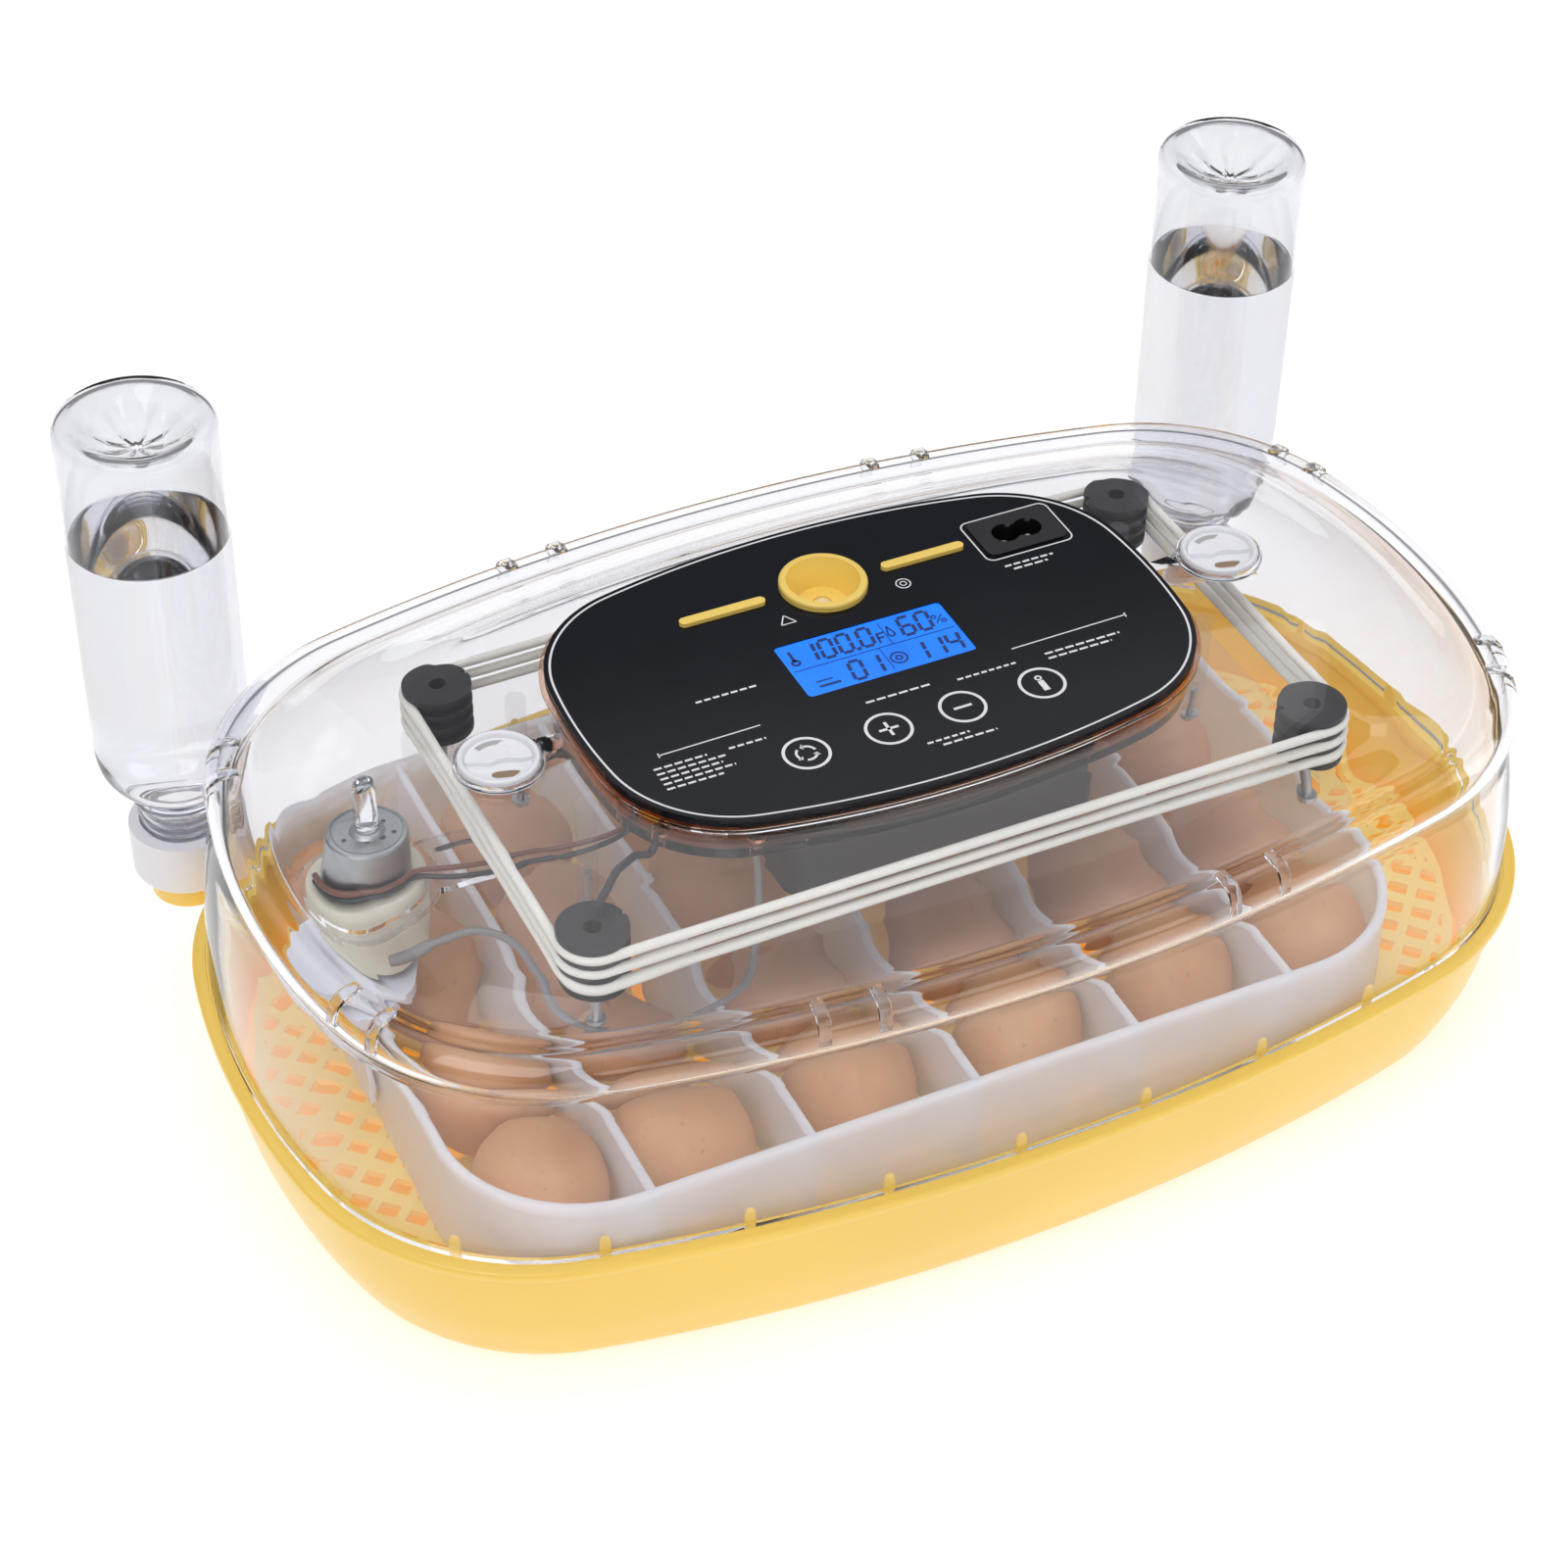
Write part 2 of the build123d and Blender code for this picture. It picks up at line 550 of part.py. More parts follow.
def panel_gasket():
    """Thin bronze seal between the lid's opening and the glass."""
    low, high = TOP_Z, PANEL_TOP - GLASS_THICK
    return panel_plate(-1.4, low, high) - panel_plate(0.9, low - 1, high + 1)


def lcd_module():
    width, depth = LCD_SIZE
    glass = block(*LCD_CENTRE, width - 0.2, depth - 0.2, 141.0, PANEL_TOP - 0.3, 1.4)
    return glass + block(*LCD_CENTRE, width + 8, depth + 6, 139.4, 141.0)


def candling_cup():
    """Yellow cup that an egg is held against, over a lamp."""
    x, y = CUP_AT
    cup = rod(x, y, CUP_RADIUS, PANEL_TOP, PANEL_TOP + 2.4) + rod(x, y, CUP_RADIUS - 1, 138.5, PANEL_TOP)
    cup = fillet(cup.edges().group_by(Axis.Z)[-1], 1.0)
    bowl = Pos(x, y, 140.4) * extrude(Circle(8.0), 10, taper=-22)
    return cup - bowl - rod(x, y, 3.0, 137, 141)


def candling_lamp():
    x, y = CUP_AT
    dome = Pos(x, y, 139.9) * Sphere(2.9, arc_size1=0)
    return rod(x, y, 2.9, 137.7, 139.9) + dome


def accent_bars():
    width = BAR_X[1] - BAR_X[0] - 0.2
    depth = BAR_WIDTH - 0.2
    bars = []
    for side in (-1, 1):
        bar = block(side * sum(BAR_X) / 2, BAR_Y, width, depth, 144.6, PANEL_TOP + 1.3, depth / 2.01)
        bars.append(bar)
    return bars


def power_inlet():
    """Two-pole figure-of-eight mains inlet, mouth up."""
    x, y = INLET_CENTRE
    width, depth = INLET_SIZE
    body = block(x, y, width - 1.6, depth - 1.6, BOX_BOTTOM + WALL, PANEL_TOP, 2.0)
    body += block(x, y, width, depth, PANEL_TOP, PANEL_TOP + 0.9, 2.6)
    mouth = [Pos(x - 3.9, y) * Circle(4.6), Pos(x + 3.9, y) * Circle(4.6), Pos(x, y) * Rectangle(7.8, 6.4)]
    return body - Pos(0, 0, 136.0) * extrude(Sketch() + mouth, 14)


def inlet_pins():
    x, y = INLET_CENTRE
    pins = []
    for side in (-1, 1):
        pin = rod(x + side * 4.3, y, 1.2, 136.0, 144.5)
        pins.append(fillet(pin.edges().sort_by(Axis.Z)[-1], 0.6))
    return pins


def circuit_board():
    board = block(0, -3, 140, 62, 135.0, 136.6, 3)
    board += [block(x, -28, 12, 8, 136.6, 138.6, 1) for x in (-40, -13, 12, 38)]
    board += block(-48, 6, 16, 12, 136.6, 141, 1)
    return board


# --- fan ----------------------------------------------------------------------------------------
def fan_screw_places():
    return [(x, y + PANEL_CENTRE_Y) for x in (-46, 46) for y in (-46, 46)]


def fan_frame():
    low, high = FAN_Z
    x, y = 0, PANEL_CENTRE_Y
    frame = block(x, y, 2 * FAN_HALF, 2 * FAN_HALF, low, high, 7) - rod(x, y, FAN_BORE, low - 1, high + 1)
    for turn in (45, 135, 225, 315):
        strut = Pos(x, y, high - 3) * Rot(0, 0, turn) * Pos(30, 0, 0) * extrude(Rectangle(44, 5), 3)
        frame += strut
    frame += rod(x, y, 16, high - 3, high) - rod(x, y, 1.55, high - 4, high + 1)
    for px, py in fan_screw_places():
        frame += rod(px, py, 4, high, BOX_BOTTOM)
        frame -= rod(px, py, 1.7, low - 1, BOX_BOTTOM + 1)
    return frame


def fan_screws():
    """Screws up through the fan's corners into the control box."""
    return [rod(x, y, 3.2, FAN_Z[0] - 1.8, FAN_Z[0]) + rod(x, y, 1.6, FAN_Z[0] - 1, BOX_BOTTOM + WALL + 1)
            for x, y in fan_screw_places()]


def fan_rotor():
    """Hub, axle and pitched blades of the air fan."""
    low, high = FAN_Z[0] + 1.5, FAN_Z[1] - 4.0
    hub = rod(0, 0, HUB_RADIUS, low, high)
    hub = fillet(hub.edges().sort_by(Axis.Z)[0], 2.0)
    room = rod(0, 0, ROTOR_RADIUS, low + 1, high - 0.5) - rod(0, 0, HUB_RADIUS - 1, low, high)
    rotor = hub + rod(0, 0, 1.5, high, FAN_Z[1] - 0.4)
    reach = ROTOR_RADIUS - HUB_RADIUS + 6
    for index in range(BLADES):
        blade = Pos(HUB_RADIUS + reach / 2 - 3, 0, (low + high) / 2) * Rot(38, 0, 0) * Box(reach, 24, 1.6)
        rotor += (Rot(0, 0, 360 / BLADES * index) * blade) & room
    return Pos(0, PANEL_CENTRE_Y, 0) * rotor


# --- vents --------------------------------------------------------------------------------------
def vent_seat(side):
    """Clear ring in the lid's top with a floor that has one air hole."""
    x = VENT_X * side
    seat = rod(x, VENT_Y, VENT_RADIUS, TOP_Z, 146.6) + rod(x, VENT_Y, 11.5, 139.0, TOP_Z)
    seat -= rod(x, VENT_Y, 10.4, 140.6, 148)
    return seat - rod(x + 4.5, VENT_Y - 3.5, 2.6, 138, 142)


def vent_cap(side):
    """White rotary cap: a shallow cup with a grip ridge and one air hole."""
    x = VENT_X * side
    cap = rod(x, VENT_Y, 10.1, 140.8, 147.4) - rod(x, VENT_Y, 8.8, 143.0, 149)
    cap += block(x, VENT_Y, 17.2, 2.2, 142.8, 146.6)
    return cap - rod(x + 4.5, VENT_Y - 4.2, 2.4, 139, 146)


# --- leads and sensor ---------------------------------------------------------------------------
LEAD_ENTRY = (-84.0, -14.0)    # where the motor leads enter the control box
HEATER_ENTRY = (-86.0, -32.0)
SENSOR_ENTRY = (-62.0, -46.0)
SENSOR_HOLE = (-65.5, -54.0)   # where the sensor cable passes the guard plate
LEAD_RADIUS = 0.8


def motor_lead(z, offset):
    """Wire from the motor's far side, round the front of the can and across to the control box."""
    x, y = MOTOR_AXIS
    reach = CAN_RADIUS + 1.6
    turns = (170, 205, 240, 275, 310)
    points = [(x + reach * cos(radians(t)), y + reach * sin(radians(t)), z) for t in turns]
    points += [(-137.0, 3.5 + offset, z - 0.5), (-118.0, 0.0 + offset, z + 0.5), (-101.0, -8.0 + offset, z + 3)]
    points += [(LEAD_ENTRY[0] - 3, LEAD_ENTRY[1] + 3 + offset, 119), (LEAD_ENTRY[0], LEAD_ENTRY[1] + offset, 133)]
    return tube_along(points, [4.0] * (len(points) - 2), LEAD_RADIUS)


def sensor_cable():
    """Grey cable from the control box, down through the guard plate and along under it to the probe."""
    points = [(*SENSOR_ENTRY, 131), (SENSOR_ENTRY[0], SENSOR_ENTRY[1] - 2, 112), (*SENSOR_HOLE, 100), (-74, -63, 95.4),
              (-92, -70, 95.2), (-110, -68, 95.0), (-122, -56, 94.0), (-129, -38, 91), (-137, -24, 87)]
    return tube_along(points, [9, 9, 7, 12, 12, 10, 12], 1.1)


def sensor_probe():
    """Small steel tip of the temperature probe."""
    start = Plane(origin=(-137, -24, 87), z_dir=(-8, 14, -4))
    return start * extrude(Circle(1.7), 11)


def heater_lead():
    """Dark sleeved lead from the front left spool up to the control box."""
    x, y = -SPOOL_AT[0] + 4, -SPOOL_AT[1] + SPOOL_Y_SHIFT + 4
    points = [(x, y, SPOOL_Z[1] + 0.1), (x, y, 134), (x + 9, y + 8, 136), (-98, -40, 132),
              (HEATER_ENTRY[0] - 5, HEATER_ENTRY[1] - 3, 125.5), (*HEATER_ENTRY, 131)]
    return tube_along(points, [2.0, 3.0, 4.0, 2.0], 1.2)


# --- bottles ------------------------------------------------------------------------------------
BOTTLE_PROFILE = [(NECK_RADIUS - 0.2, 45.0), (NECK_RADIUS - 0.2, 74.0), (16.0, 76.0), (21.5, 80.0),
                  (24.2, 85.5), (BOTTLE_RADIUS, 92.0), (BOTTLE_RADIUS, 209.0), (23.2, 213.0), (21.5, BOTTLE_TOP)]


BASE_DISH = [(18.0, BOTTLE_TOP - 0.8), (6.0, 205.5), (0.0, 204.5)]
CAVITY_DISH = [(BOTTLE_RADIUS - BOTTLE_WALL, 208.5), (22.0, 211.8), (19.0, 212.0), (6.5, 204.4), (0.0, 203.4)]
THREAD_Z = (60.8, 64.6, 68.4)


def bottle_walls(inset):
    """Bottle profile from above the neck's mouth to the upper body, moved in by inset."""
    return [(r - inset, z) for r, z in BOTTLE_PROFILE if 46 < z < 200]


def bottle_solid(points):
    outline = make_face(Polyline(*[(r, 0, z) for r, z in points], close=True))
    return revolve(outline, Axis.Z)


def bottle(side):
    """Clear upturned water bottle with a dished base and three thread beads on its neck."""
    outside = bottle_solid([(0.0, 45.0)] + BOTTLE_PROFILE + BASE_DISH)
    mouth = [(0.0, 44.0), (NECK_RADIUS - 0.2 - BOTTLE_WALL, 44.0)]
    body = outside - bottle_solid(mouth + bottle_walls(BOTTLE_WALL) + CAVITY_DISH)
    for z in THREAD_Z:
        body += Pos(0, 0, z) * Torus(NECK_RADIUS + 0.1, 0.9)
    body += rod(0, 0, 15.6, 71.0, 73.0) - rod(0, 0, NECK_RADIUS - 0.5, 70, 74)
    return Pos(BOTTLE_AT[0] * side, BOTTLE_AT[1], 0) * body


def bottle_water(side):
    gap = BOTTLE_WALL + 0.08
    surface = [(BOTTLE_RADIUS - gap, WATER_Z), (0.0, WATER_Z)]
    points = [(0.0, 46.0), (NECK_RADIUS - 0.2 - gap, 46.0)] + bottle_walls(gap) + surface
    return Pos(BOTTLE_AT[0] * side, BOTTLE_AT[1], 0) * bottle_solid(points)


def bottle_cap(side):
    """White screw cap with the drip nozzle that plugs into the socket."""
    low, high = CAP_Z
    cap = rod(0, 0, CAP_RADIUS, low, high)
    cap = fillet(cap.edges().sort_by(Axis.Z)[0], 2.0)
    cap -= rod(0, 0, NECK_RADIUS - 0.1, 44.5, high + 1)
    cap += rod(0, 0, NOZZLE_RADIUS, SOCKET_Z[0] + 3, low + 1)
    cap -= rod(0, 0, 2.0, SOCKET_Z[0], low + 6)
    return Pos(BOTTLE_AT[0] * side, BOTTLE_AT[1], 0) * cap


# --- write every piece --------------------------------------------------------------------------
os.makedirs("parts", exist_ok=True)

save("base_tub", base_tub())
save("floor_grille", floor_grille())
save("tray_frame", tray_frame())
save("turning_yoke", turning_yoke())
for number, divider_x in enumerate(DIVIDER_X, 1):
    save(f"tray_divider_{number}", tray_divider(divider_x))
for number in range(len(EGG_COLUMN_X)):
    save(f"eggs_column_{number + 1}", *egg_column(number))

save("crank_disc", crank_disc())
save("crank_pin", crank_pin())
save("motor_gearbox", motor_gearbox())
save("motor_shaft", motor_shaft())
save("motor_can", motor_can())
save("motor_bracket", motor_bracket())
save("motor_leads", motor_lead(107.2, 0.0), motor_lead(105.2, -2.2))

save("lid_shell", lid_shell())
save("rim_clips", *rim_clips())
save("guard_plate", guard_plate())
save("guard_posts", *guard_posts())
for name, (spool_x, spool_y) in zip(("front_left", "back_left", "front_right", "back_right"), spool_places()):
    save(f"heater_spool_{name}", heater_spool(spool_x, spool_y))
save("heating_wires", *[heating_wire(wire_z) for wire_z in WIRE_Z])
save("guard_screws", *guard_screws(), *spool_screws())
save("heater_lead", heater_lead())
save("sensor_cable", sensor_cable())
save("sensor_probe", sensor_probe())

save("control_box", control_box())
save("control_glass", control_glass())
save("panel_gasket", panel_gasket())
save("lcd_module", lcd_module())
save("candling_cup", candling_cup())
save("candling_lamp", candling_lamp())
save("accent_bars", *accent_bars())
save("power_inlet", power_inlet())
save("inlet_pins", *inlet_pins())
save("circuit_board", circuit_board())
save("fan_frame", fan_frame())
save("fan_screws", *fan_screws())
save("fan_rotor", fan_rotor())

for name, side in (("left", -1), ("right", 1)):
    save(f"vent_seat_{name}", vent_seat(side))
    save(f"vent_cap_{name}", vent_cap(side))
    save(f"bottle_socket_{name}", bottle_socket(side))
    save(f"bottle_{name}", bottle(side))
    save(f"bottle_water_{name}", bottle_water(side))
    save(f"bottle_cap_{name}", bottle_cap(side))
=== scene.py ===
"""Studio scene of the tabletop egg incubator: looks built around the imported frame.

Lengths in this file are millimetres in the frame's axes; mesh() turns them into metres.
"""
import bmesh
import bpy
from math import atan2, cos, degrees, hypot, pi, radians, sin, sqrt
from mathutils import Matrix, Vector


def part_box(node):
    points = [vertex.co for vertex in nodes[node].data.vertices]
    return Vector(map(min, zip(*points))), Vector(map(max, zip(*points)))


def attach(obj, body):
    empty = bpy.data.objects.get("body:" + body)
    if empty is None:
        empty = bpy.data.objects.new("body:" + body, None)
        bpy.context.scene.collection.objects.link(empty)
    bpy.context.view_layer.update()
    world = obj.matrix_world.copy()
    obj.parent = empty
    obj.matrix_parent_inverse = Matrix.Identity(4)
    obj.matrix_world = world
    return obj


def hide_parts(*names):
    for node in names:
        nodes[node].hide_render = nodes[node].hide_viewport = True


MM = 0.001
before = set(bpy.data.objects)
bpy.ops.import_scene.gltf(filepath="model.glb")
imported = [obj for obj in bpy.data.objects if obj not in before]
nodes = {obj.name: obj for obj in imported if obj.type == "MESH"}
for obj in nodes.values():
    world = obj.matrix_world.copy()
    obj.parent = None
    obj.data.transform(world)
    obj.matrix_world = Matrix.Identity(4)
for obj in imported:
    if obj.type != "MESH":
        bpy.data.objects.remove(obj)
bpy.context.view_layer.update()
scene = bpy.context.scene


def box_mm(node):
    """Lowest and highest corner of a CAD node, in millimetres."""
    low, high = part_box(node)
    return low / MM, high / MM


def centre_mm(node):
    low, high = box_mm(node)
    return (low + high) / 2


# --- driving places, from the frame -------------------------------------------------------------
RIM_HALF = tuple(box_mm("base_tub")[1].xy)
RIM_CORNER = 82.0
PAN_TOP = 15.43
RIB_COUNT = 26
RIB_INSET = 7.4
LID_TOP = 143.6
LID_WALL = 2.4
LID_STEPS = (44, 68, 104)
RING_HALF = (201.6, 122.7)
RING_CORNER = 75.5
CLIP_REACH = 7.0
VENT_BORE = 9.0
TRAY_CORNER = 46.0
PANEL_LOW, PANEL_HIGH = box_mm("control_glass")
PANEL_MID = centre_mm("control_glass")
PANEL_HALF = tuple(((PANEL_HIGH - PANEL_LOW) / 2).xy)
PANEL_CORNER = 42.0
PANEL_GAP = 0.6
PRINT_Z = PANEL_HIGH.z + 0.05
MOTOR = centre_mm("motor_can")


# --- materials ----------------------------------------------------------------------------------
def material(name):
    made = bpy.data.materials.new(name)
    made.use_nodes = True
    tree = made.node_tree
    shader = tree.nodes["Principled BSDF"]
    return made, tree, shader


def add(tree, kind, **values):
    node = tree.nodes.new(kind)
    for key, value in values.items():
        setattr(node, key, value)
    return node


def noise(tree, scale, detail=3.0, roughness=0.5):
    """Noise in object space; scale is in features per metre."""
    place = add(tree, "ShaderNodeTexCoord")
    grain = add(tree, "ShaderNodeTexNoise")
    grain.inputs["Scale"].default_value = scale
    grain.inputs["Detail"].default_value = detail
    grain.inputs["Roughness"].default_value = roughness
    tree.links.new(place.outputs["Object"], grain.inputs["Vector"])
    return grain.outputs["Fac"]


def ramp(tree, source, stops):
    """Colour ramp over source; stops are (position, colour)."""
    node = add(tree, "ShaderNodeValToRGB")
    tree.links.new(source, node.inputs["Fac"])
    while len(node.color_ramp.elements) < len(stops):
        node.color_ramp.elements.new(0.5)
    for element, (position, colour) in zip(node.color_ramp.elements, stops):
        element.position = position
        element.color = (*colour, 1.0)
    return node.outputs["Color"]


def spread(tree, source, low, high):
    node = add(tree, "ShaderNodeMapRange")
    node.inputs["To Min"].default_value = low
    node.inputs["To Max"].default_value = high
    tree.links.new(source, node.inputs["Value"])
    return node.outputs["Result"]


def bump(tree, shader, source, strength, distance):
    node = add(tree, "ShaderNodeBump")
    node.inputs["Strength"].default_value = strength
    node.inputs["Distance"].default_value = distance
    tree.links.new(source, node.inputs["Height"])
    tree.links.new(node.outputs["Normal"], shader.inputs["Normal"])


def mixed(tree, first, second, output):
    """Mixes two shaders on an output; gives the socket that takes the second one's share."""
    mix = add(tree, "ShaderNodeMixShader")
    tree.links.new(first, mix.inputs[1])
    tree.links.new(second, mix.inputs[2])
    tree.links.new(mix.outputs["Shader"], tree.nodes[output].inputs["Surface"])
    return mix.inputs["Fac"]


def shade(colour, amount):
    """Colour made darker or lighter by a factor."""
    return tuple(min(1.0, c * amount) for c in colour)


def plastic(name, colour, rough=0.35, vary=0.05, grain=900.0, grain_depth=0.00004, coat=0.0, soft=0.0,
            painted_glow=0.0, ior=1.5):
    """Moulded plastic: slight colour drift, uneven gloss and a fine moulded grain, with an optional glow in
    its own colour that is painted fill light.
    """
    made, tree, shader = material(name)
    drift = noise(tree, 14.0, 2.0)
    tint = ramp(tree, drift, [(0.3, shade(colour, 1 - vary)), (0.7, shade(colour, 1 + vary))])
    tree.links.new(tint, shader.inputs["Base Color"])
    scuff = noise(tree, 60.0, 5.0, 0.65)
    tree.links.new(spread(tree, scuff, rough * 0.8, rough * 1.25), shader.inputs["Roughness"])
    bump(tree, shader, noise(tree, grain, 2.0), 0.35, grain_depth)
    shader.inputs["IOR"].default_value = ior
    shader.inputs["Coat Weight"].default_value = coat
    shader.inputs["Coat Roughness"].default_value = 0.08
    shader.inputs["Subsurface Weight"].default_value = soft
    shader.inputs["Subsurface Radius"].default_value = (0.004, 0.003, 0.002)
    # Emission in the plastic's own colour: painted fill light that brightens its shade.
    shader.inputs["Emission Color"].default_value = (*colour, 1.0)
    shader.inputs["Emission Strength"].default_value = painted_glow
    return made


def metal(name, colour, rough, brushed):
    """Bare metal: slight tone drift, uneven gloss and a fine brushed grain."""
    made, tree, shader = material(name)
    shader.inputs["Metallic"].default_value = 1.0
    drift = noise(tree, 35.0, 4.0)
    tint = ramp(tree, drift, [(0.25, shade(colour, 0.9)), (0.75, shade(colour, 1.06))])
    tree.links.new(tint, shader.inputs["Base Color"])
    scuff = noise(tree, 220.0, 5.0)
    tree.links.new(spread(tree, scuff, rough * 0.7, rough * 1.4), shader.inputs["Roughness"])
    shader.inputs["Anisotropic"].default_value = brushed
    bump(tree, shader, noise(tree, 1800.0, 2.0), 0.2, 0.00002)
    return made


def clear(name, tint=(1.0, 1.0, 1.0), rough=0.015, ior=1.46, lamp_tint=(0.96, 0.96, 0.97), milk=0.0,
          wave=0.0, wave_scale=25.0):
    """Clear moulded plastic or water that lets lamps through to what is inside."""
    made, tree, shader = material(name)
    shader.inputs["Base Color"].default_value = (*tint, 1.0)
    shader.inputs["Roughness"].default_value = rough
    shader.inputs["IOR"].default_value = ior
    shader.inputs["Transmission Weight"].default_value = 1.0 - milk
    if wave:
        bump(tree, shader, noise(tree, wave_scale, 1.0), wave, 0.0004)
    lamp = add(tree, "ShaderNodeBsdfTransparent")
    lamp.inputs["Color"].default_value = (*lamp_tint, 1.0)
    path = add(tree, "ShaderNodeLightPath")
    share = mixed(tree, shader.outputs["BSDF"], lamp.outputs["BSDF"], "Material Output")
    tree.links.new(path.outputs["Is Shadow Ray"], share)
    return made


def faint(name, shown):
    """Thin clear plastic seen mostly by its gloss; shown is the share of the light that meets it."""
    made, tree, shader = material(name)
    shader.inputs["Base Color"].default_value = (0.30, 0.30, 0.34, 1.0)
    tree.links.new(spread(tree, noise(tree, 60.0, 3.0), 0.04, 0.10), shader.inputs["Roughness"])
    through = add(tree, "ShaderNodeBsdfTransparent")
    share = mixed(tree, through.outputs["BSDF"], shader.outputs["BSDF"], "Material Output")
    share.default_value = shown
    return made


def eggshell():
    """Brown hen's eggshell: mottled tan, faint speckles and a fine pored surface."""
    made, tree, shader = material("eggshell")
    broad = noise(tree, 28.0, 3.0)
    base = ramp(tree, broad, [(0.3, (0.58, 0.275, 0.118)), (0.55, (0.68, 0.350, 0.165)),
                              (0.75, (0.75, 0.430, 0.230))])
    speck = noise(tree, 750.0, 3.0, 0.6)
    fleck = ramp(tree, speck, [(0.30, (0.55, 0.42, 0.34)), (0.38, (1.0, 1.0, 1.0))])
    mix = add(tree, "ShaderNodeMix", data_type="RGBA", blend_type="MULTIPLY")
    mix.inputs["Factor"].default_value = 0.5
    tree.links.new(base, mix.inputs["A"])
    tree.links.new(fleck, mix.inputs["B"])
    tree.links.new(mix.outputs["Result"], shader.inputs["Base Color"])
    tree.links.new(spread(tree, noise(tree, 90.0, 4.0), 0.42, 0.6), shader.inputs["Roughness"])
    bump(tree, shader, noise(tree, 1300.0, 3.0), 0.4, 0.00008)
    shader.inputs["Subsurface Weight"].default_value = 0.08
    shader.inputs["Subsurface Radius"].default_value = (0.004, 0.002, 0.001)
    return made


def glowing(name, colour, strength):
    """Backlit face: lit from inside with a little unevenness."""
    made, tree, shader = material(name)
    uneven = noise(tree, 45.0, 2.0)
    tint = ramp(tree, uneven, [(0.3, shade(colour, 0.85)), (0.7, shade(colour, 1.1))])
    tree.links.new(tint, shader.inputs["Base Color"])
    tree.links.new(tint, shader.inputs["Emission Color"])
    shader.inputs["Emission Strength"].default_value = strength
    shader.inputs["Roughness"].default_value = 0.15
    return made


# The tub and the grille glow faintly in their own colour: painted fill light.
YELLOW = plastic("tub_yellow", (0.93, 0.62, 0.11), rough=0.30, vary=0.03, coat=0.25, soft=0.10, painted_glow=0.05)
GRILLE = plastic("grille_yellow", (0.96, 0.71, 0.215), rough=0.36, vary=0.04, soft=0.08, painted_glow=0.10)
# The pan's deeper orange and strong glow are painted bounce light.
PAN_PAINTED_LIGHT = plastic("tub_pan_painted_light", (0.92, 0.54, 0.035), rough=0.4, vary=0.04, painted_glow=0.26)
ACCENT = plastic("accent_yellow", (0.93, 0.66, 0.14), rough=0.28, vary=0.03, coat=0.3)
MILKY = clear("tray_milky", (0.965, 0.965, 0.985), rough=0.32, ior=1.35, lamp_tint=(0.80, 0.80, 0.84),
              milk=0.5)
TURNER = plastic("turner_white", (0.78, 0.78, 0.84), rough=0.34, vary=0.03, soft=0.2)
EGG = eggshell()
CREAM = plastic("gearbox_cream", (0.72, 0.68, 0.55), rough=0.42, vary=0.04)
STEEL = metal("steel", (0.62, 0.64, 0.65), rough=0.30, brushed=0.3)
CAN = metal("can_steel", (0.40, 0.42, 0.43), rough=0.36, brushed=0.3)
CLEAR = clear("clear_plastic", (0.945, 0.95, 0.972), rough=0.01, ior=1.45, wave=0.05, wave_scale=18.0)
FAINT = faint("inner_clear", 0.09)
BRONZE = clear("bronze_clear", (0.80, 0.56, 0.45), rough=0.05, ior=1.45, lamp_tint=(0.6, 0.4, 0.32))
PANEL = plastic("panel_black", (0.005, 0.006, 0.010), rough=0.12, vary=0.15, grain=400.0,
                grain_depth=0.00001, ior=1.3)
INLET = plastic("inlet_black", (0.008, 0.008, 0.009), rough=0.14, vary=0.1, coat=0.6)
PRINT = plastic("print_white", (0.80, 0.80, 0.82), rough=0.5, vary=0.04)
LCD = glowing("lcd_blue", (0.004, 0.15, 0.74), 0.72)
LCD_DARK = plastic("lcd_segment", (0.004, 0.03, 0.16), rough=0.3, vary=0.1)
LAMP = glowing("lamp_white", (0.80, 0.70, 0.42), 0.1)
SPOOL = plastic("spool_black", (0.013, 0.013, 0.015), rough=0.48, vary=0.12, grain=1500.0)
IVORY = plastic("silicone_wire", (0.80, 0.78, 0.71), rough=0.40, vary=0.04, soft=0.25)
SLEEVE = plastic("sleeve_grey", (0.035, 0.035, 0.042), rough=0.5, vary=0.1)
BROWN = plastic("lead_brown", (0.16, 0.045, 0.025), rough=0.32, vary=0.1, coat=0.3)
BLACK = plastic("lead_black", (0.015, 0.015, 0.017), rough=0.34, vary=0.1, coat=0.3)
GREY = plastic("sensor_grey", (0.25, 0.235, 0.225), rough=0.45, vary=0.08)
BOARD = plastic("board_green", (0.015, 0.11, 0.045), rough=0.3, vary=0.2, coat=0.4)
FAN = plastic("fan_grey", (0.030, 0.030, 0.036), rough=0.42, vary=0.1)
# Cream on the fan's rotor stands in for the highlights on its dark blades: painted highlight.
BLADE_PAINTED_HIGHLIGHT = plastic("fan_cream", (0.70, 0.60, 0.33), rough=0.36, vary=0.05)
WHITE = plastic("vent_white", (0.84, 0.84, 0.88), rough=0.28, vary=0.02, coat=0.2)
# The grey of the grip slot and the brown of the air hole are painted shade in place of real recesses.
SHADE = plastic("vent_shade", (0.42, 0.42, 0.42), rough=0.4)
HOLE_PAINTED_SHADE = plastic("vent_hole_painted_shade", (0.30, 0.20, 0.13), rough=0.5, vary=0.3)
CAP = plastic("cap_white", (0.82, 0.81, 0.84), rough=0.34, vary=0.03, soft=0.2)
BOTTLE = clear("bottle_clear", (0.885, 0.89, 0.912), rough=0.01, ior=1.42, wave=0.06, wave_scale=22.0)
WATER = clear("water", (0.965, 0.97, 0.985), rough=0.0, ior=1.33, lamp_tint=(0.97, 0.98, 0.99))

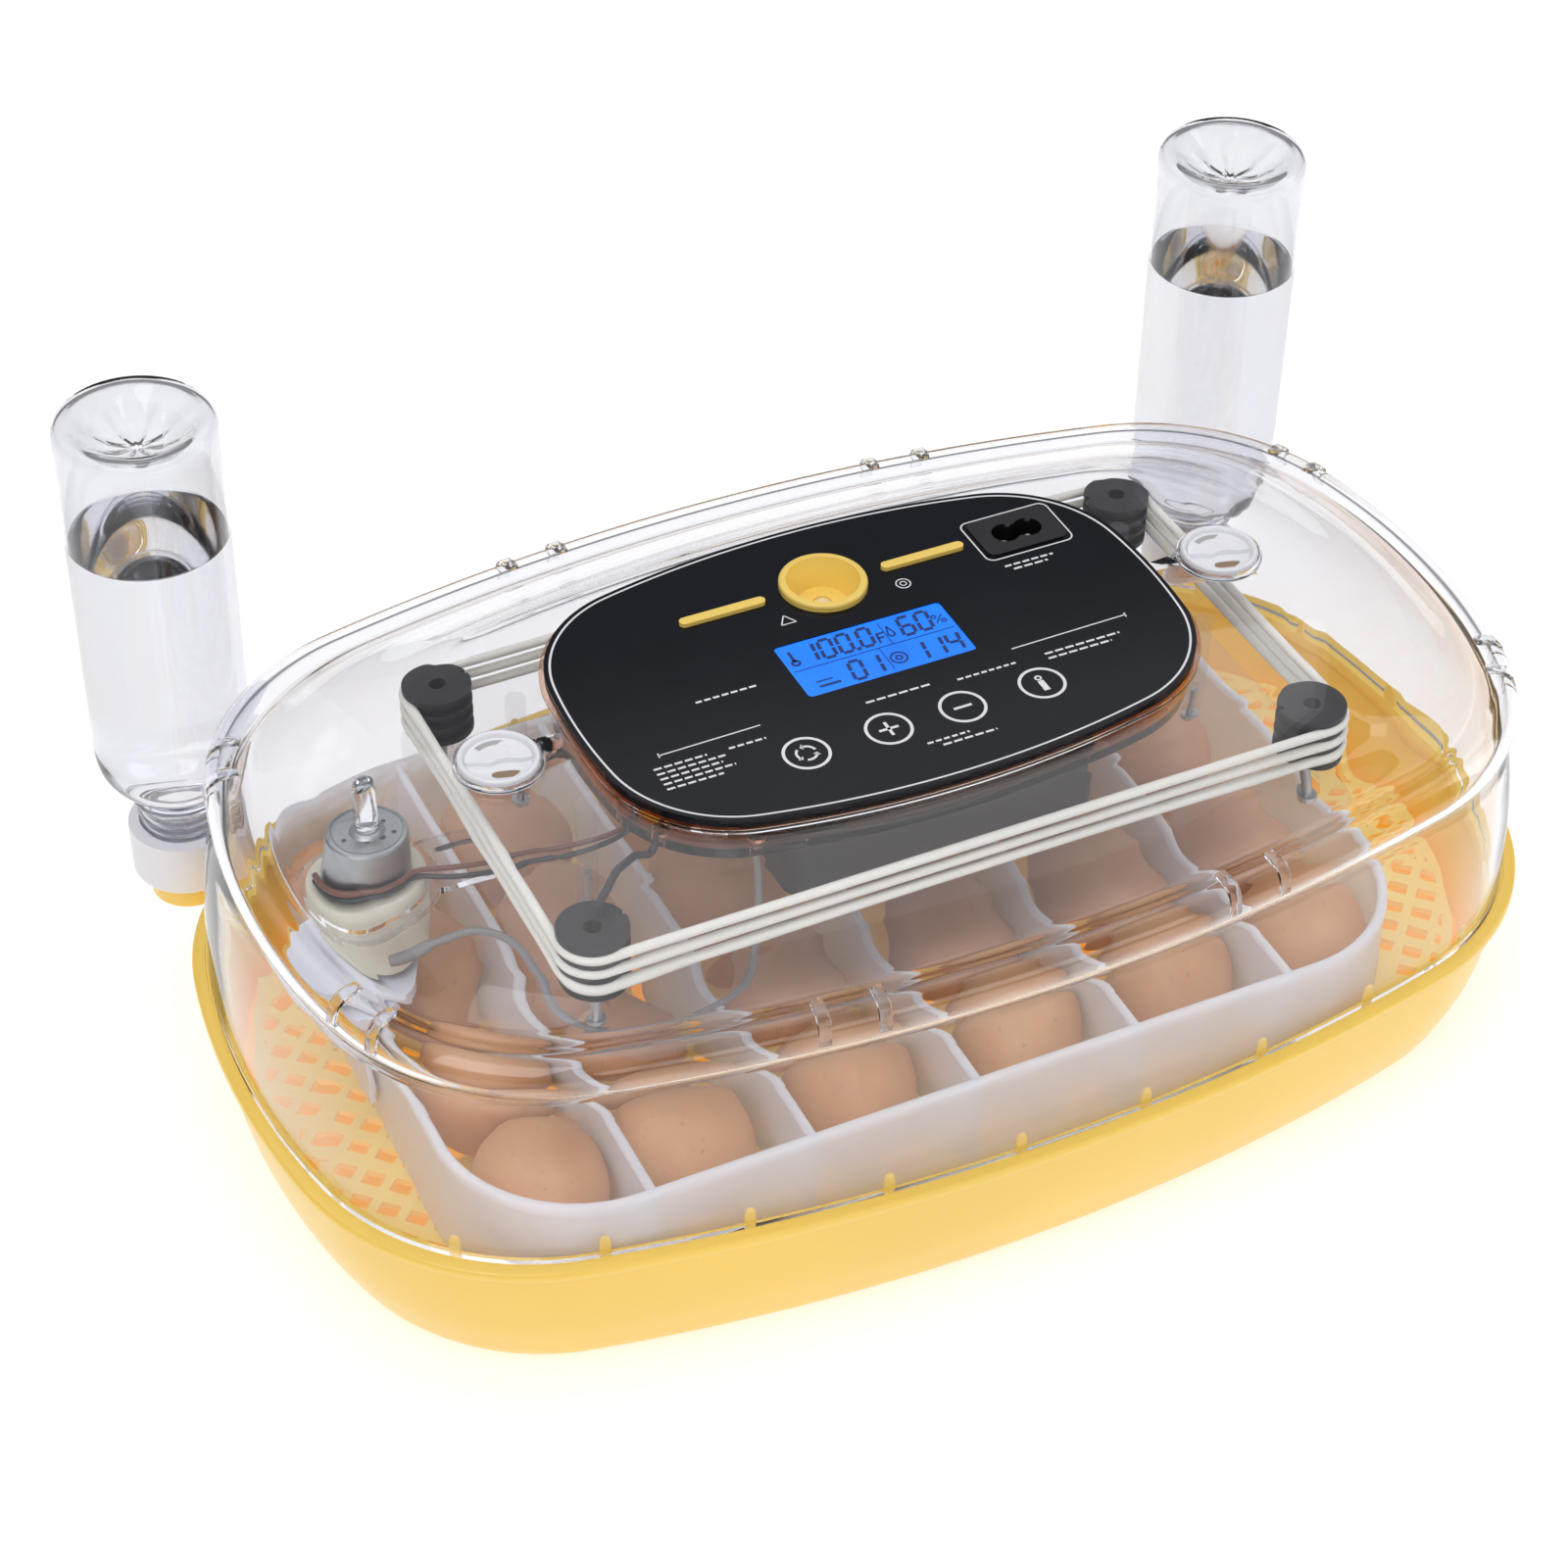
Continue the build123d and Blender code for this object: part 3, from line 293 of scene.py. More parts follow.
NODE_MATERIALS = {
    "base_tub": YELLOW, "floor_grille": GRILLE, "bottle_socket": YELLOW, "tray_": MILKY,
    "turning_yoke": TURNER, "eggs_": EGG, "crank_disc": TURNER, "crank_pin": STEEL, "motor_shaft": STEEL,
    "motor_can": STEEL, "motor_gearbox": CREAM, "motor_bracket": CLEAR, "motor_leads": BROWN,
    "lid_shell": CLEAR, "rim_clips": CLEAR, "guard_plate": FAINT, "guard_posts": FAINT,
    "guard_screws": STEEL, "heater_spool": SPOOL, "heating_wires": IVORY, "heater_lead": SLEEVE,
    "sensor_cable": GREY, "sensor_probe": STEEL, "control_box": BRONZE, "control_glass": PANEL,
    "panel_gasket": BRONZE, "lcd_module": LCD, "candling_cup": ACCENT, "candling_lamp": LAMP,
    "accent_bars": ACCENT, "power_inlet": INLET, "inlet_pins": STEEL, "circuit_board": BOARD,
    "fan_frame": FAN, "fan_screws": STEEL, "fan_rotor": BLADE_PAINTED_HIGHLIGHT, "vent_seat": CLEAR, "vent_cap": WHITE,
    "bottle_cap": CAP, "bottle_water": WATER, "bottle_left": BOTTLE, "bottle_right": BOTTLE,
}


def paint_nodes():
    """Gives every CAD node its finish by the start of its name."""
    for name, node in nodes.items():
        key = max((k for k in NODE_MATERIALS if name.startswith(k)), key=len)
        node.data.materials.clear()
        node.data.materials.append(NODE_MATERIALS[key])


# --- mesh helpers -------------------------------------------------------------------------------
def mesh(name, points, faces, finish, body, smooth=True, sharp=40.0):
    """Object from millimetre points; its faces are smooth, with edges over sharp degrees kept."""
    data = bpy.data.meshes.new(name)
    data.from_pydata([tuple(c * MM for c in p) for p in points], [], faces)
    data.validate()
    made = bpy.data.objects.new(name, data)
    scene.collection.objects.link(made)
    data.materials.append(finish)
    work = bmesh.new()
    work.from_mesh(data)
    bmesh.ops.recalc_face_normals(work, faces=work.faces)
    for face in work.faces:
        face.smooth = smooth
    for edge in work.edges:
        edge.smooth = edge.is_manifold and edge.calc_face_angle(0) < radians(sharp)
    work.to_mesh(data)
    work.free()
    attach(made, body)
    return made


def tube_faces(start, rings, count, wrap=False, caps=True):
    """Faces of a tube of closed rings, whose points are numbered from start."""
    faces = []
    for level in range(rings if wrap else rings - 1):
        a = start + level * count
        b = start + (level + 1) % rings * count
        faces += [(a + i, a + (i + 1) % count, b + (i + 1) % count, b + i) for i in range(count)]
    if caps and not wrap:
        faces.append(tuple(range(start, start + count)))
        faces.append(tuple(range(start + (rings - 1) * count, start + rings * count)))
    return faces


def loft(name, rings, finish, body, wrap=False, caps=True, sharp=40.0):
    """Skin over closed rings with the same number of points each."""
    points = [p for ring in rings for p in ring]
    faces = tube_faces(0, len(rings), len(rings[0]), wrap, caps)
    return mesh(name, points, faces, finish, body, sharp=sharp)


def arc(cx, cy, radius, start, stop, count):
    """Points along an arc in degrees, without the last one."""
    turns = [radians(start + (stop - start) * i / count) for i in range(count)]
    return [(cx + radius * cos(t), cy + radius * sin(t)) for t in turns]


def circle(cx, cy, radius, count):
    turns = [2 * pi * i / count for i in range(count)]
    return [(cx + radius * cos(t), cy + radius * sin(t)) for t in turns]


SQUARENESS = 0.80


def oval(half, corner, steps=(14, 22, 36)):
    """Closed oval of eight tangent arcs: steps along each end, corner and side."""
    a, b = half
    length = hypot(1 / a, 1 / b)
    x = a * SQUARENESS - corner / a / length
    y = b * SQUARENESS - corner / b / length
    side = (x * x + (y - b) ** 2 - corner**2) / (2 * (b - y - corner))
    end = ((x - a) ** 2 + y * y - corner**2) / (2 * (a - x - corner))
    low = degrees(atan2(y, x - (a - end)))
    high = degrees(atan2(y - (b - side), x))
    ends, corners, sides = steps
    points = arc(a - end, 0, end, -low, low, ends)
    points += arc(x, y, corner, low, high, corners)
    points += arc(0, b - side, side, high, 180 - high, sides)
    points += arc(-x, y, corner, 180 - high, 180 - low, corners)
    points += arc(end - a, 0, end, 180 - low, 180 + low, ends)
    points += arc(-x, -y, corner, 180 + low, 180 + high, corners)
    points += arc(0, side - b, side, 180 + high, 360 - high, sides)
    points += arc(x, -y, corner, 360 - high, 360 - low, corners)
    return points


def oval_ring(half, corner, z, centre=(0.0, 0.0), steps=(14, 22, 36)):
    return [(x + centre[0], y + centre[1], z) for x, y in oval(half, corner, steps)]


def rim_ring(inset, z):
    return oval_ring((RIM_HALF[0] - inset, RIM_HALF[1] - inset), RIM_CORNER - inset, z)


def catmull_rom(p, q, r, s, t):
    """Value at t between q and r, with p before them and s after."""
    bend = 2 * p - 5 * q + 4 * r - s
    twist = 3 * q - p - 3 * r + s
    return 0.5 * (2 * q + (r - p) * t + bend * t * t + twist * t**3)


def eased(points, steps=4):
    """Smooth curve through profile points of any number of values."""
    curve = []
    last = len(points) - 1
    for i in range(last):
        near = points[max(i - 1, 0)], points[i], points[i + 1], points[min(i + 2, last)]
        for step in range(steps):
            curve.append(tuple(catmull_rom(*values, step / steps) for values in zip(*near)))
    return curve + [points[-1]]


QUARTERS = ((1, 1, 0), (-1, 1, 90), (-1, -1, 180), (1, -1, 270))


def rounded_rect(half_x, half_y, corner, steps):
    points = []
    for sx, sy, start in QUARTERS:
        cx, cy = sx * (half_x - corner), sy * (half_y - corner)
        turn = radians(start + 90)
        points += arc(cx, cy, corner, start, start + 90, steps)
        points.append((cx + corner * cos(turn), cy + corner * sin(turn)))
    return points


def turned(profile, centre, count, lift=None):
    """Rings about a vertical line, one for each (radius, z); lift gives a point's extra height."""
    rings = []
    for radius, z in profile:
        ring = []
        for i in range(count):
            turn = 2 * pi * i / count
            rise = lift(radius, z, turn) if lift else 0.0
            ring.append((centre[0] + radius * cos(turn), centre[1] + radius * sin(turn), z + rise))
        rings.append(ring)
    return rings


def lathe(name, profile, centre, finish, body, count=96, sharp=40.0):
    """Solid of revolution whose profile of (radius, z) starts and ends near the axis."""
    return loft(name, turned(profile, centre, count), finish, body, sharp=sharp)


def flat(name, outlines, z, finish, body, thick=0.12):
    """Thin printed or laid-on shapes: each outline is a closed list of x, y."""
    points, faces = [], []
    for outline in outlines:
        start, count = len(points), len(outline)
        points += [(x, y, z) for x, y in outline] + [(x, y, z + thick) for x, y in outline]
        faces.append(tuple(range(start, start + count)))
        faces.append(tuple(range(start + count, start + 2 * count)))
        faces += [(start + i, start + (i + 1) % count, start + count + (i + 1) % count, start + count + i)
                  for i in range(count)]
    return mesh(name, points, faces, finish, body, smooth=False)


def bar(x0, y0, x1, y1, width):
    """Rectangle round a line."""
    along = Vector((x1 - x0, y1 - y0)).normalized()
    side = Vector((-along.y, along.x)) * width / 2
    return [(x0 - side.x, y0 - side.y), (x1 - side.x, y1 - side.y), (x1 + side.x, y1 + side.y),
            (x0 + side.x, y0 + side.y)]


def band(cx, cy, radius, width, start=0.0, stop=360.0, count=40):
    """Strips that make up a round printed line."""
    strips = []
    inner, outer = radius - width / 2, radius + width / 2
    for i in range(count):
        a = radians(start + (stop - start) * i / count)
        b = radians(start + (stop - start) * (i + 1) / count)
        corners = ((inner, a), (outer, a), (outer, b), (inner, b))
        strips.append([(cx + reach * cos(t), cy + reach * sin(t)) for reach, t in corners])
    return strips


def cable(name, points, radius, finish, body):
    """Round cable on a smooth curve held by its points."""
    data = bpy.data.curves.new(name, "CURVE")
    data.dimensions = "3D"
    data.bevel_depth = radius * MM
    data.bevel_resolution = 5
    data.resolution_u = 10
    data.use_fill_caps = True
    line = data.splines.new("NURBS")
    line.points.add(len(points) - 1)
    for spot, place in zip(line.points, points):
        spot.co = (*[c * MM for c in place], 1.0)
    line.order_u = 3
    line.use_endpoint_u = True
    made = bpy.data.objects.new(name, data)
    scene.collection.objects.link(made)
    data.materials.append(finish)
    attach(made, body)
    return made


# --- tub ----------------------------------------------------------------------------------------
def build_tub():
    """Tub with a rolled rim; the upward faces inside, below PAN_TOP, get a deeper orange that glows strongly:
    painted bounce light in the pan.
    """
    outer = eased([(16.5, 0.0), (13.6, 1.6), (11.6, 5.0), (9.4, 11.0), (6.6, 20.0), (4.4, 32.0), (2.7, 46.6)])
    lip = [(2.5, 47.4), (1.2, 47.8), (0.4, 48.5), (0.0, 49.4), (0.0, 51.0), (0.25, 51.6), (0.8, 52.0),
           (3.4, 52.0), (3.6, 51.5), (4.2, 51.5), (7.6, 51.6), (8.0, 51.4), (8.2, 50.9), (8.2, 47.0)]
    inner = eased([(5.6, 43.0), (7.1, 30.0), (10.0, 18.0), (14.0, 9.0), (16.6, 4.6), (19.0, 3.2)])
    rings = [rim_ring(inset, z) for inset, z in outer + lip + inner]
    tub = loft("tub_body", rings, YELLOW, "base", sharp=35.0)
    # Upward faces low inside the tub take the pan finish: painted bounce light.
    tub.data.materials.append(PAN_PAINTED_LIGHT)
    for face in tub.data.polygons:
        if face.center.z < PAN_TOP * MM and face.normal.z > 0.05:
            face.material_index = 1
    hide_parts("base_tub")


def build_ribs():
    """Small tapered ribs that stand inside the lid wall all round the rim."""
    path = oval((RIM_HALF[0] - RIB_INSET, RIM_HALF[1] - RIB_INSET), RIM_CORNER - RIB_INSET)
    sections = ((49.0, 1.7, 0.55), (56.2, 1.5, 0.5), (57.6, 1.0, 0.35), (58.0, 0.5, 0.15))
    points, faces = [], []
    lengths = [0.0]
    for a, b in zip(path, path[1:] + path[:1]):
        lengths.append(lengths[-1] + hypot(b[0] - a[0], b[1] - a[1]))
    for index in range(RIB_COUNT):
        goal = (index + 0.5) / RIB_COUNT * lengths[-1]
        spot = next(i for i in range(len(path)) if lengths[i + 1] >= goal)
        a, b = path[spot], path[(spot + 1) % len(path)]
        along = Vector((b[0] - a[0], b[1] - a[1])).normalized()
        out = Vector((along.y, -along.x))
        share = (goal - lengths[spot]) / (lengths[spot + 1] - lengths[spot])
        middle = Vector(a) + (Vector(b) - Vector(a)) * share
        start = len(points)
        for z, wide, deep in sections:
            for u, v in ((-1, -1), (1, -1), (1, 1), (-1, 1)):
                place = middle + along * wide * u + out * deep * v
                points.append((place.x, place.y, z))
        faces += tube_faces(start, len(sections), 4)
    ribs = mesh("tub_ribs", points, faces, YELLOW, "base")


# --- lid ----------------------------------------------------------------------------------------
def build_lid():
    """Clear cover: bowed wall, a thin bulge round its top edge and a shallow crown with three openings."""
    wall = [(4.0, 52.2), (4.1, 56.0), (4.5, 66.0), (5.2, 80.0), (6.7, 94.0), (8.6, 105.0)]
    outer = eased([(RIM_HALF[0] - i, RIM_HALF[1] - i, RIM_CORNER - i, z) for i, z in wall])
    ring = [(203.2, 120.1, 73.6, 110.0), (202.6, 122.2, 75.0, 113.2), (203.6, 123.4, 76.0, 116.0),
            (204.0, 123.9, 76.4, 119.0), (203.0, 123.0, 75.8, 122.2), (200.4, 120.6, 74.2, 124.8),
            (197.0, 117.3, 72.0, 125.8), (193.8, 114.0, 70.0, 125.0), (190.6, 110.8, 68.0, 124.6)]
    opening = (PANEL_HALF[0] + PANEL_GAP, PANEL_HALF[1] + PANEL_GAP, PANEL_CORNER + PANEL_GAP)
    crown = [(187.0, 107.4, 66.0, 126.4), (176.0, 97.5, 60.0, 133.4), (160.0, 84.5, 52.0, 139.8),
             (147.0, 76.5, 48.0, 142.8), (134.0, 73.0, 46.0, LID_TOP), (*opening, LID_TOP)]
    outside = outer + eased(ring + crown, 5)
    under_crown = [(half_x - LID_WALL, half_y - LID_WALL, corner - LID_WALL, z - LID_WALL)
                   for half_x, half_y, corner, z in eased(crown[1:-1], 5)]
    under_ring = [(186.4, 107.0, 65.8, 123.8), (190.6, 110.8, 68.0, 122.4), (193.8, 114.0, 70.0, 122.9),
                  (196.8, 117.0, 71.8, 123.4), (199.2, 119.3, 72.8, 122.4), (201.0, 121.0, 73.6, 120.4),
                  (201.6, 121.5, 74.0, 118.0), (201.2, 121.0, 73.6, 115.6), (200.5, 119.8, 72.7, 113.0),
                  (201.0, 118.0, 71.4, 109.6)]
    behind_wall = [(half_x - LID_WALL, half_y - LID_WALL, corner - LID_WALL, z)
                   for half_x, half_y, corner, z in outer[::-1][1:]]
    inside = [(*opening, LID_TOP - LID_WALL)] + under_crown[::-1] + eased(under_ring, 5) + behind_wall
    rings = []
    for half_x, half_y, corner, z in outside + inside:
        # The crown's outlines drift towards the panel's centre as they get smaller.
        drift = max(0.0, min(1.0, (160.0 - half_x) / 60.0)) if z > 130 else 0.0
        rings.append(oval_ring((half_x, half_y), corner, z, (0.0, PANEL_MID.y * drift), LID_STEPS))
    lid = loft("lid_cover", rings, CLEAR, "lid", wrap=True, sharp=50.0)
    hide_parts("lid_shell")
    for side in ("left", "right"):
        middle = centre_mm(f"vent_seat_{side}")
        bore(lid, middle.x, middle.y, VENT_BORE, LID_TOP - 6, LID_TOP + 4)


def bore(target, x, y, radius, z_low, z_high):
    """Round hole cut through target."""
    outline = circle(x, y, radius, 72)
    cutter = loft("cutter", [[(px, py, z) for px, py in outline] for z in (z_low, z_high)], CLEAR, "lid")
    cut = target.modifiers.new("hole", "BOOLEAN")
    cut.object = cutter
    cut.solver = "EXACT"
    bpy.context.view_layer.update()
    with bpy.context.temp_override(object=target, active_object=target):
        bpy.ops.object.modifier_apply(modifier=cut.name)
    bpy.data.objects.remove(cutter)


# --- ring clips, motor --------------------------------------------------------------------------
def build_clips():
    """Clear studs pressed over the ring, each a narrow rounded saddle."""
    spots = [vertex.co / MM for vertex in nodes["rim_clips"].data.vertices]
    starts = []
    for spot in spots:
        if not any((spot.xy - other).length < CLIP_REACH for other in starts):
            starts.append(spot.xy)
    outline = [(0.25, 117.4), (1.3, 117.4), (1.5, 119.0), (1.4, 121.8), (0.6, 124.6), (-1.8, 126.7),
               (-5.8, 127.6), (-8.2, 127.2), (-8.4, 126.4), (-5.6, 126.3), (-2.4, 125.4), (-0.4, 123.6),
               (0.25, 121.2)]
    # Each slice: its place across the clip, and its size in reach and in height.
    slices = ((-1.9, 0.88, 0.97), (-1.5, 1.0, 1.0), (1.5, 1.0, 1.0), (1.9, 0.88, 0.97))
    middle_z = 121.0
    points, faces = [], []
    for first in starts:
        group = [spot.xy for spot in spots if (spot.xy - first).length < CLIP_REACH]
        middle = sum(group, Vector((0.0, 0.0))) / len(group)
        out = ring_normal(middle)
        side = Vector((-out.y, out.x))
        start = len(points)
        for across, narrow, low in slices:
            for reach, z in outline:
                place = middle + out * (reach * narrow - 0.9) + side * across
                points.append((place.x, place.y, middle_z + (z - middle_z) * low))
        faces += tube_faces(start, len(slices), len(outline))
    clips = mesh("ring_clips", points, faces, CLEAR, "lid", sharp=50.0)
    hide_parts("rim_clips")


def ring_normal(spot):
    """Outward direction of the lid's ring near a point."""
    path = oval(RING_HALF, RING_CORNER, steps=(40, 60, 60))
    near = min(range(len(path)), key=lambda i: (Vector(path[i]) - spot).length)
    before, after = Vector(path[near - 1]), Vector(path[(near + 1) % len(path)])
    along = (after - before).normalized()
    return Vector((along.y, -along.x))


CAN_HOLES = ((70, 7.6, 0.9), (190, 7.4, 0.7), (250, 5.0, 0.9), (300, 5.6, 1.0), (330, 7.8, 0.8),
             (20, 6.0, 0.7))


def build_motor():
    """Pressed steel can with a rolled rim and punched holes shown as flat black discs (painted shade), a
    rounded gearbox and the lid's clear peg.
    """
    x, y = MOTOR.x, MOTOR.y
    top = 119.0
    can = [(0.2, 103.05), (12.0, 103.05), (12.0, 117.6), (11.9, 118.3), (11.5, 118.8), (10.9, top),
           (10.6, top), (10.5, top - 0.25), (10.2, top - 0.25), (10.1, top), (5.2, top), (5.0, top + 0.3),
           (3.6, top + 1.0), (3.4, top + 1.5), (0.2, top + 1.55)]
    body = lathe("motor_can_pressed", can, (x, y), CAN, "lid", sharp=30.0)
    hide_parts("motor_can")
    # The holes are flat black discs laid on the can's top: painted shade where the openings are.
    holes = [circle(x + reach * cos(radians(turn)), y + reach * sin(radians(turn)), size, 16)
             for turn, reach, size in CAN_HOLES]
    painted_hole_shade = flat("motor_can_holes_painted_shade", holes, top, SPOOL, "lid", 0.05)
    edge = eased([(14.9, 103.0), (15.4, 102.9), (16.0, 102.3), (16.5, 101.0), (16.7, 99.4)])
    drum = [(0.2, 80.05), (16.2, 80.05), (16.7, 80.6)] + edge[::-1] + [(12.05, 103.0), (0.2, 103.0)]
    shell = lathe("gearbox_shell", drum, (x, y), CREAM, "lid", sharp=35.0)
    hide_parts("motor_gearbox")
    peg = [(0.2, top + 1.7), (3.0, top + 1.7), (3.5, top + 2.4), (3.3, 137.0), (3.0, 138.2), (2.0, 138.9),
           (0.2, 139.1)]
    pin = lathe("motor_peg", peg, (x, y), CLEAR, "lid", count=48)


# --- vents --------------------------------------------------------------------------------------
def build_vents():
    """White cups with a stepped bowl, a crescent grip slot and a waisted air hole, in clear rings; slot and
    hole are flat grey and brown marks, painted shade.
    """
    for side in ("left", "right"):
        cap = f"vent_cap_{side}"
        middle = centre_mm(cap)
        x, y = middle.x, middle.y
        bowl = [(0.2, LID_TOP + 0.05), (12.2, LID_TOP + 0.05), (12.3, 146.4), (12.0, 147.1),
                (11.3, 147.35), (10.7, 147.0), (10.4, 146.2), (10.0, 144.9), (9.2, 144.35), (6.0, 144.15),
                (0.2, 144.1)]
        cup = lathe(f"vent_cup_{side}", bowl, (x, y), WHITE, cap, sharp=50.0)
        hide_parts(f"vent_cap_{side}")
        edge = [(x + 10.0 * cos(radians(t)), y + 10.0 * sin(radians(t))) for t in range(-16, 165, 9)]
        wave = [(x - 5.6, y + 1.2), (x - 2.6, y - 0.4), (x, y + 0.2), (x + 2.8, y - 0.2), (x + 6.0, y - 2.0)]
        levels = [[(px, py, z) for px, py in edge + wave] for z in (144.12, 145.7)]
        step = loft(f"vent_step_{side}", levels, WHITE, cap, sharp=30.0)
        # The grip slot is a flat grey mark: painted shade in place of a recess.
        slot = arc(x, y, 8.9, 60, 128, 10) + arc(x, y, 6.9, 122, 66, 8)
        grip_shade = flat(f"vent_grip_painted_shade_{side}", [slot], 145.72, SHADE, cap, 0.04)
        # The air hole is a flat brown mark on the cup's floor: painted shade in place of an opening.
        turns = [radians(t) for t in range(0, 360, 15)]
        bone = [(4.4 * cos(t), (1.5 + 0.7 * cos(t) ** 2) * sin(t)) for t in turns]
        lean = radians(-16)
        hole = [(x + 0.3 + u * cos(lean) - v * sin(lean), y - 5.4 + u * sin(lean) + v * cos(lean))
                for u, v in bone]
        gap = flat(f"vent_hole_painted_shade_{side}", [hole], 144.18, HOLE_PAINTED_SHADE, cap, 0.06)
        ring = [(12.5, 143.7), (13.6, 143.7), (13.75, 144.2), (13.75, 145.2), (13.4, 145.8), (12.9, 146.0),
                (12.5, 145.6), (12.5, 143.7)]
        seat = ring_solid(f"vent_ring_{side}", ring, centre_mm(f"vent_seat_{side}"), CLEAR, "lid")
        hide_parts(f"vent_seat_{side}")


# --- tray ---------------------------------------------------------------------------------------
BEAD = 1.6


def build_tray():
    """Milky tray wall with a rolled white lip, and dividers with a round bead along their tops."""
    low, high = box_mm("tray_frame")
    middle = (low + high) / 2
    half = (high - low) / 2
    top = high.z
    profile = [(2.0, 27.0), (0.4, 27.0), (0.2, 28.0), (0.3, 45.0), (0.5, 61.0), (0.25, 62.0), (0.0, 63.4),
               (0.1, 65.2), (0.6, 66.2), (1.6, top), (2.6, 66.3), (3.2, 65.4), (3.3, 64.0), (2.7, 62.8),
               (2.1, 61.6), (1.9, 45.0)]
    rings = []
    for inset, z in profile:
        outline = rounded_rect(half.x - inset, half.y - inset, TRAY_CORNER - inset, 16)
        rings.append([(px + middle.x, py + middle.y, z) for px, py in outline])
    wall = loft("tray_wall", rings, MILKY, "tray", wrap=True, sharp=50.0)
    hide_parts("tray_frame")
    for number in range(1, 6):
        node = f"tray_divider_{number}"
        low, high = box_mm(node)
        x = (low.x + high.x) / 2
        turns = [radians(t) for t in range(-60, 241, 20)]
        bead = [(BEAD * cos(t), high.z - BEAD + BEAD * sin(t)) for t in turns]
        section = [(0.7, low.z)] + bead + [(-0.7, low.z)]
        ends = [[(x + px, y, z) for px, z in section] for y in (low.y, high.y)]
        web = loft(f"divider_{number}", ends, MILKY, "tray", sharp=35.0)
        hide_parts(node)


# --- eggs ---------------------------------------------------------------------------------------
EGG_TURN = (0, 24, 34, 28, 32, 2)
EGG_PITCH = 48.2
EGG_LENGTH = 47.4
EGG_RADIUS = 20.3
EGG_LEVELS = 24
EGG_SIDES = 40


def build_eggs():
    """Twenty-four smooth eggs, each a little different, over the CAD eggs' places."""
    for column in range(6):
        node = f"eggs_column_{column + 1}"
        middle = centre_mm(node)
        for row in range(4):
            y = (row - 1.5) * EGG_PITCH
            swing = EGG_TURN[column] * sin(2.1 * row + 1.3 * column + 0.6) + 180 * ((row + 1) % 2)
            length = EGG_LENGTH - 1.6 * (0.5 + 0.5 * sin(5.1 * row + 2.7 * column))
            radius = EGG_RADIUS - 0.5 * (0.5 + 0.5 * sin(3.7 * row + 4.1 * column))
            place = Matrix.Translation((middle.x, y, middle.z)) @ Matrix.Rotation(radians(swing), 4, "Z")
            rings = []
            for level in range(1, EGG_LEVELS):
                t = -cos(pi * level / EGG_LEVELS)
                width = radius * sqrt(max(1 - t * t, 0.0)) * (1 - 0.115 * t - 0.02 * t * t)
                ring = []
                for i in range(EGG_SIDES):
                    turn = 2 * pi * i / EGG_SIDES
                    spot = place @ Vector((width * cos(turn), t * length / 2, width * sin(turn)))
                    ring.append(tuple(spot))
                rings.append(ring)
            egg = loft(f"egg_{column + 1}_{row + 1}", rings, EGG, "tray", sharp=80.0)
            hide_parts(node)


# --- print and display --------------------------------------------------------------------------
KEY_X = (-40.2, -13.2, 11.5, 38.5)
KEY_Y = -34.0
KEY_RADIUS = 6.9
SEGMENTS = {"0": "abcdef", "1": "bc", "2": "abged", "3": "abgcd", "4": "fgbc", "5": "afgcd", "6": "afgedc",
            "7": "abc", "8": "abcdefg", "9": "abcdfg"}


def digit(figure, x, y, height):
    """Seven-segment figure whose lower left corner is x, y."""
    width = height * 0.46
    pen, gap, mid = height * 0.135, height * 0.05, y + height / 2
    ends = {
        "a": (x + gap, y + height, x + width - gap, y + height), "g": (x + gap, mid, x + width - gap, mid),
        "d": (x + gap, y, x + width - gap, y), "f": (x, mid + gap, x, y + height - gap),
        "b": (x + width, mid + gap, x + width, y + height - gap), "e": (x, y + gap, x, mid - gap),
        "c": (x + width, y + gap, x + width, mid - gap)}
    return [bar(*ends[segment], pen) for segment in SEGMENTS[figure]]


def slanted(shapes, y, lean=0.12):
    """Shapes leaning right from the line at height y."""
    return [[(px + (py - y) * lean, py) for px, py in shape] for shape in shapes]


def number(text, x, y, height):
    shapes = []
    for figure in text:
        if figure == ".":
            shapes.append(bar(x - height * 0.13, y, x + height * 0.03, y, height * 0.16))
            x += height * 0.13
        else:
            shapes += digit(figure, x, y, height)
            x += height * 0.69
    return slanted(shapes, y)


